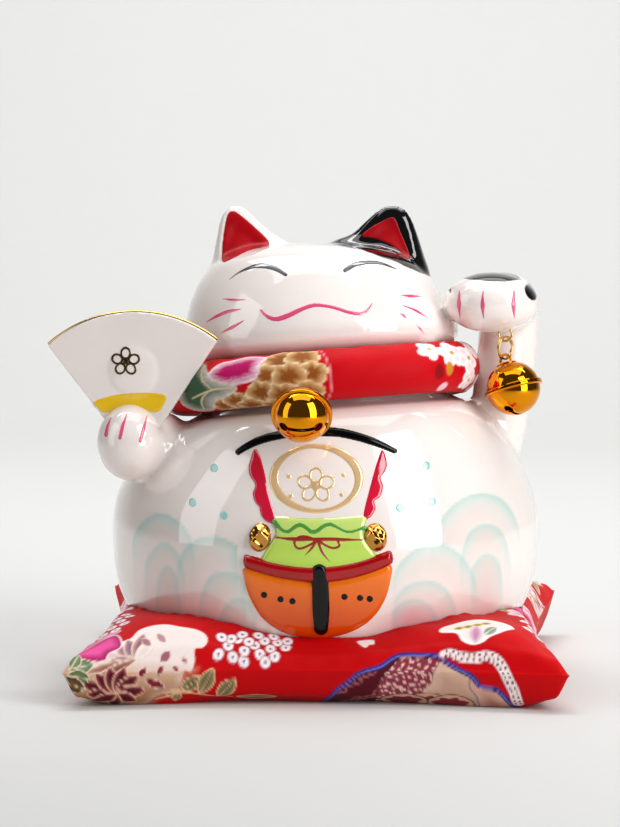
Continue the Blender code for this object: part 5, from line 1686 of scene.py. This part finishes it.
def stuffed_collar():
    """A tube of cloth round the neck, thinner at its gathered ends, blown up and printed."""
    own = sizes("collar_sizes")
    full = own.radius / MM
    turns = [(84, 3.4, 3.4), (74, full * 0.86, full * 0.86), (50, full * 0.97, full), (25, full * 0.8, full)]
    turns += [(4, 5.8, full), (-18, full * 0.88, full), (-45, full, full), (-90, full, full),
        (-135, full, full)]
    turns += [(-180, full, full), (-225, full, full), (-254, full * 0.86, full * 0.86), (-264, 3.4, 3.4)]
    p = np.array(turns, float)
    p = np.vstack([p[0], p, p[-1]])
    spans = len(turns) - 1
    stations, around = 96, 20
    ts = np.linspace(0, spans, stations)
    i = np.minimum(ts.astype(int), spans - 1)
    q = between(p, i, (ts - i)[:, None])
    centre = collar_centre(q[:, 0], q[:, 1])
    along = np.gradient(centre, axis=0)
    along /= np.linalg.norm(along, axis=1)[:, None]
    across = np.cross(along, [0, 0, 1.0])
    across /= np.linalg.norm(across, axis=1)[:, None]
    rise = np.cross(across, along)
    turn = np.linspace(0, 2 * np.pi, around + 1)[:-1] + np.pi / 2
    grow = 0.985
    ring = (
        centre[:, None]
        + across[:, None] * (q[:, 1] * grow)[:, None, None] * np.cos(turn)[None, :, None]
        + rise[:, None] * (q[:, 2] * grow)[:, None, None] * np.sin(turn)[None, :, None]
    )
    places = np.vstack([ring.reshape(-1, 3), centre[:1], centre[-1:]])
    faces = tube_faces(stations, around)
    grown = stuff(places * MM, faces, 0.5 * MM, pressure=3.0, frames=12) / MM
    ring = grown[:-2].reshape(stations, around, 3)
    times = 7
    long_weights, round_weights = finer(stations, times), finer(around, times, closed=True)
    fine = np.einsum("ai,bj,ijk->abk", long_weights, round_weights, ring)
    m, n = fine.shape[:2]
    mid = fine.mean(axis=1, keepdims=True)
    out = fine - mid
    size = np.linalg.norm(out, axis=2, keepdims=True)
    share = np.linspace(0, 1, m)[:, None]
    spin = np.linspace(0, 2 * np.pi, n + 1)[None, :-1]
    ends = np.exp(-share * 30) + np.exp(-(1 - share) * 30)
    gathers = np.cos(spin * 11) * 0.55 * ends
    # The seam runs along the inside; small creases cross the tube where it bends.
    creases = 0.22 * np.sin(share * 210 + np.sin(spin * 2) * 2) * ease(-0.2, 1, np.cos(spin - 0.6))
    creases += 0.35 * np.exp(-(((share - 0.355) / 0.012) ** 2)) * np.sin(spin * 3)
    fine = fine + out / np.maximum(size, 1e-6) * (gathers + creases * (1 - ends))[..., None]
    places = np.vstack([fine.reshape(-1, 3), mid[0], mid[-1]])
    made = from_lists("stuffed_collar", places * MM, tube_faces(m, n))
    face_out(made)
    reach = np.concatenate([[0], np.cumsum(np.linalg.norm(np.diff(mid[:, 0], axis=0), axis=1))])
    u = np.repeat(reach, n)
    v = np.tile(np.linspace(0, 2 * np.pi, n + 1)[:-1] * full, m)
    u, v = np.append(u, [0, reach[-1]]), np.append(v, [0, 0])
    lay_pattern(made, np.stack([u, v], axis=1))
    dye = Dye(u, v, tuple(own.ground))
    collar_print(dye)
    paint_points(made, "print", dye.rgb)
    dress(made, cloth("collar_crepe"), "cat", "brocade", "collar_cover", "collar_filling", sharp=70)


def peony(dye, petals, edge="dcb27a", heart="94521c", line="f2dcb4"):
    """Overlapping ruffled petals, each (along, round, reach, turn), the last on top."""
    for along, round_, reach, turn in petals:
        dx, dz = dye.u - along, dye.v - round_
        a = np.arctan2(dz, dx) + math.radians(turn)
        frill = 1 + 0.07 * np.cos(a * 5) + 0.05 * np.cos(a * 9 + 1)
        shape = reach * frill - np.hypot(dx, dz * 1.12)
        dye.put(shape + 0.4, ink(line))
        dye.faded(shape + 0.4 * np.cos(a * 7), edge, heart, reach * 0.6)


def collar_print(dye):
    u, v = dye.u, dye.v
    dye.put(stroke(u, v, [(151, 1), (148.8, 8), (147.8, 16), (149, 24), (152, 31)], [0.2, 0.26, 0.2], 20),
        ink("f0909c"))
    petals = [(164, 6.4, 6, 10), (156.6, 5.6, 5.4, 60), (153.8, 13, 4.8, 90), (168.4, 12.6, 4.6, 0)]
    petals += [(161, 13.4, 5.4, 40), (155.6, 20.6, 5.2, 15), (170.6, 19, 4.8, 70), (186.4, 24, 4.6, 30)]
    petals += [(163.4, 20.8, 5.2, 55), (180.6, 22, 4.6, 80), (176, 25.4, 4.8, 20), (158, 27.6, 5, 65)]
    petals += [(167.6, 27.4, 5, 35), (174.8, 32, 5, 10), (163, 34, 5, 50), (184, 31, 4.6, 75)]
    peony(dye, petals)
    crimson = [(189, 11), (185.6, 6), (181, 4), (176, 3.4), (169.6, 4.6), (171, 8), (172, 13), (178, 14.6),
        (185, 14.6)]
    shape = rounded(u, v, crimson)
    grain = 0.6 * np.sin(u * 5.1 + 3 * np.sin(v * 4.3)) * np.sin(v * 4.7 + 2 * np.sin(u * 3.9))
    dye.put(shape + 0.6, ink("f4dfe6"))
    dye.faded(shape + grain, "ecc4d4", "b80460", 3.0)
    foliage = [(195, 4.6), (191, 9), (187, 13), (179, 16.2), (184, 19.4), (189, 21), (193, 26), (200, 26.4),
        (205, 20)]
    shape = rounded(u, v, [*foliage, (201, 9)])
    dye.put(shape + 0.4, ink("ecdcd0"))
    dye.faded(shape + grain, "cfc6bc", "3f5c40", 4.4)
    for path in ([(180, 16.2), (188, 16.4), (198, 19)], [(194, 6), (192, 12), (188, 16.4)],
        [(197, 25.6), (194, 20), (190, 17)]):
        dye.put(stroke(u, v, path, [0.2, 0.34, 0.2], 12), ink("e8d9b0"))
    sprays = [((113.4, 6.4), 4.6, 20), ((104.6, 8.6), 5.6, 55), ((96.4, 11), 5.6, 10)]
    sprays += [((95, 19.6), 4.8, 40), ((88, 6), 5.2, 0), ((84, 22), 5.4, 30), ((103, 56.6), 4.8, 60)]
    sprays += [((78, 13), 5.2, 20)]
    for place, size, turn in sprays:
        dye.blossom(place, size, "fdf6f4", "f0c3cc", turn)
    for place, wide, tall, code in (
        ((111.4, 15.6), 1.9, 2.9, "8c0410"),
        ((107.2, 14.6), 1.5, 2.6, "c98428"),
        ((107.8, 22.6), 1.8, 2.6, "f0c4cc"),
    ):
        dye.put(oval(u, v, place, wide, tall), ink(code))
    # The cloth repeats its flowers round the back and the underside.
    for along, size in ((226, 7.6), (262, 8.4), (292, 7.2), (24, 8), (54, 7.4)):
        ring = [(along + size * 0.8 * math.cos(a), 16 + size * 0.8 * math.sin(a), size * 0.62,
            30 * a) for a in range(7)]
        peony(dye, ring + [(along, 16, size * 0.55, 0)])
        dye.foliage((along + size, 22), (along + size * 2.1, 27), 2.6, "93a070", "4f6a3c")
        dye.blossom((along + 16, 8), 5, "fdf6f4", "f0c3cc", along)
    for k in range(10):
        dye.blossom((14 + k * 29, 40 + (k % 2) * 8), 6, "f8e6ea", "d0488c", k * 40, "f6dccb")


# ---- small parts that keep their own shape --------------------------------------------------
def recolour(name, finish):
    slots = frame["nodes"][name].data.materials
    slots.clear()
    slots.append(finish)


def finish_parts():
    steel = plated("steel_pellet", ink("9a9aa0"), haze=0.2)
    rubber = finish_with(
        "soft_rubber", "uneven_glaze", ink("e6e2d4"), 0.4, {"Pooling": 0.08}, {"Coat Weight": 0.0},
        reach=0.3 * MM
    )
    silk = finish_with("red_thread", "crepe", ink("a80a18"), 0.5, {}, {"Sheen Weight": 0.2}, reach=0.1 * MM)
    recolour("collar_bell_pellet", steel)
    recolour("paw_bell_pellet", steel)
    recolour("base_stopper", rubber)
    recolour("collar_elastic", silk)
    recolour("collar_bell_thread", silk)


# ---- operators ------------------------------------------------------------------------------
class MakeCat(bpy.types.Operator):
    """Cast the porcelain cat and lay its painted marks on the glaze"""

    bl_idname = "beckoning.cat"
    bl_label = "Porcelain Cat"

    def execute(self, context):
        _, surface = porcelain_cat()
        ground = Ground(surface)
        face_marks(ground)
        ear_marks(ground)
        ship_marks(ground)
        bpy.data.objects.remove(surface, do_unlink=True)
        return {"FINISHED"}


class MakeFan(bpy.types.Operator):
    """Make the porcelain fan with its gilt rim, band and flower"""

    bl_idname = "beckoning.fan"
    bl_label = "Fan"

    def execute(self, context):
        fan_marks(fan_plate())
        return {"FINISHED"}


class MakeBells(bpy.types.Operator):
    """Press the two jingle bells and bend their rings and loops"""

    bl_idname = "beckoning.bells"
    bl_label = "Bells and Rings"

    def execute(self, context):
        gold = plated("gold_plating", tuple(sizes("bell_sizes").plating))
        finish_parts()
        bell_set("paw_bell", paw_bell_place(), "paw_bell", gold)
        bell_set("collar_bell", collar_bell_place(), "collar_bell", gold)
        hanging_wires()
        return {"FINISHED"}


class MakeCollar(bpy.types.Operator):
    """Sew and stuff the printed crepe collar"""

    bl_idname = "beckoning.collar"
    bl_label = "Collar"

    def execute(self, context):
        stuffed_collar()
        return {"FINISHED"}


class MakeCushion(bpy.types.Operator):
    """Sew, stuff and print the cushion"""

    bl_idname = "beckoning.cushion"
    bl_label = "Cushion"

    def execute(self, context):
        stuffed_cushion()
        return {"FINISHED"}


class MakeStage(bpy.types.Operator):
    """Set up the floor, the soft lights and the camera"""

    bl_idname = "beckoning.stage"
    bl_label = "Stage"

    def execute(self, context):
        build_stage()
        return {"FINISHED"}


class BECKONING_PT_parts(bpy.types.Panel):
    bl_label = "Beckoning Cat"
    bl_idname = "BECKONING_PT_parts"
    bl_space_type = "VIEW_3D"
    bl_region_type = "UI"
    bl_category = "Beckoning Cat"

    def draw(self, context):
        for operator in OPERATORS:
            self.layout.operator(operator.bl_idname)
        for key, kind in SIZE_GROUPS.items():
            box = self.layout.box()
            for field in kind.__annotations__:
                box.prop(getattr(context.scene, key), field)


OPERATORS = (MakeCat, MakeFan, MakeBells, MakeCollar, MakeCushion, MakeStage)


# ---- stage ----------------------------------------------------------------------------------
def area_light(name, place, aim, wide, tall, power, colour=(1, 1, 1)):
    lamp = bpy.data.lights.new(name, "AREA")
    lamp.shape, lamp.size, lamp.size_y = "RECTANGLE", wide, tall
    lamp.energy, lamp.color = power, colour
    made = bpy.data.objects.new(name, lamp)
    made.location = place
    made.rotation_euler = (Vector(aim) - Vector(place)).to_track_quat("-Z", "Y").to_euler()
    bpy.context.scene.collection.objects.link(made)
    return made


def build_stage():
    """A pale paper floor that sweeps up behind, four soft lights, a dim room and the camera."""
    pick()
    bpy.ops.mesh.primitive_grid_add(x_subdivisions=40, y_subdivisions=80, size=6.0)
    floor = named("paper_sweep")
    co = points(floor)
    over = np.maximum(co[:, 1] - 0.9, 0)
    co[:, 2] = np.where(over > 0, over**2 / 1.2, 0)
    co[:, 1] = np.minimum(co[:, 1], 0.9 + 0.8 * np.tanh(over / 0.8))
    put(floor, co)
    paper = finish_with(
        "pale_paper", "uneven_glaze", ink("cfcfcd"), 0.1, {"Pooling": 0.01}, {"Coat Weight": 0.0},
        reach=0.2 * MM
    )
    tree = paper.node_tree
    shader = tree.nodes["Principled BSDF"]
    for link in list(shader.inputs["Roughness"].links):
        tree.links.remove(link)
    shader.inputs["Roughness"].default_value = 0.9
    floor.data.materials.append(paper)
    floor.data.shade_smooth()
    area_light("right_softbox", (0.62, -0.55, 0.42), (0, 0, 0.09), 0.42, 0.9, 7.4)
    area_light("left_softbox", (-0.75, -0.35, 0.35), (0, 0, 0.09), 0.35, 0.8, 1.5)
    area_light("top_softbox", (0.0, 0.1, 1.1), (0, 0, 0.0), 1.1, 1.1, 6.6)
    area_light("sweep_light", (0.0, 0.3, 1.4), (0, 1.6, 0.6), 1.6, 0.8, 27.0)
    world = bpy.data.worlds.new("studio")
    bpy.context.scene.world = world
    world.use_nodes = True
    world.node_tree.nodes["Background"].inputs["Color"].default_value = (0.86, 0.87, 0.9, 1)
    world.node_tree.nodes["Background"].inputs["Strength"].default_value = 0.08
    lens = bpy.data.cameras.new("camera")
    lens.lens, lens.sensor_width, lens.sensor_fit = 138.9, 36.0, "AUTO"
    lens.shift_x, lens.shift_y = -0.0184, 0.0231
    camera = bpy.data.objects.new("camera", lens)
    side, up = math.radians(2.33), math.radians(5.3)
    back = Vector((math.sin(side) * math.cos(up), -math.cos(side) * math.cos(up), math.sin(up)))
    camera.location = Vector((0, 0, 0.09)) + back * 1.2
    camera.rotation_euler = (-back).to_track_quat("-Z", "Y").to_euler()
    bpy.context.scene.collection.objects.link(camera)
    bpy.context.scene.camera = camera
    bpy.context.scene.view_settings.view_transform = "Standard"


# ---- registration and run -------------------------------------------------------------------
CLASSES = (*SIZE_GROUPS.values(), *OPERATORS, BECKONING_PT_parts)


def register():
    for made in CLASSES:
        bpy.utils.register_class(made)
    for key, kind in SIZE_GROUPS.items():
        setattr(bpy.types.Scene, key, bpy.props.PointerProperty(type=kind))


def unregister():
    for key in SIZE_GROUPS:
        delattr(bpy.types.Scene, key)
    for made in reversed(CLASSES):
        bpy.utils.unregister_class(made)


def main():
    register()
    uneven_glaze_group()
    crepe_group()
    handled_metal_group()
    bpy.ops.beckoning.cat()
    bpy.ops.beckoning.fan()
    bpy.ops.beckoning.bells()
    bpy.ops.beckoning.collar()
    bpy.ops.beckoning.cushion()
    bpy.ops.beckoning.stage()


if __name__ == "__main__":
    main()
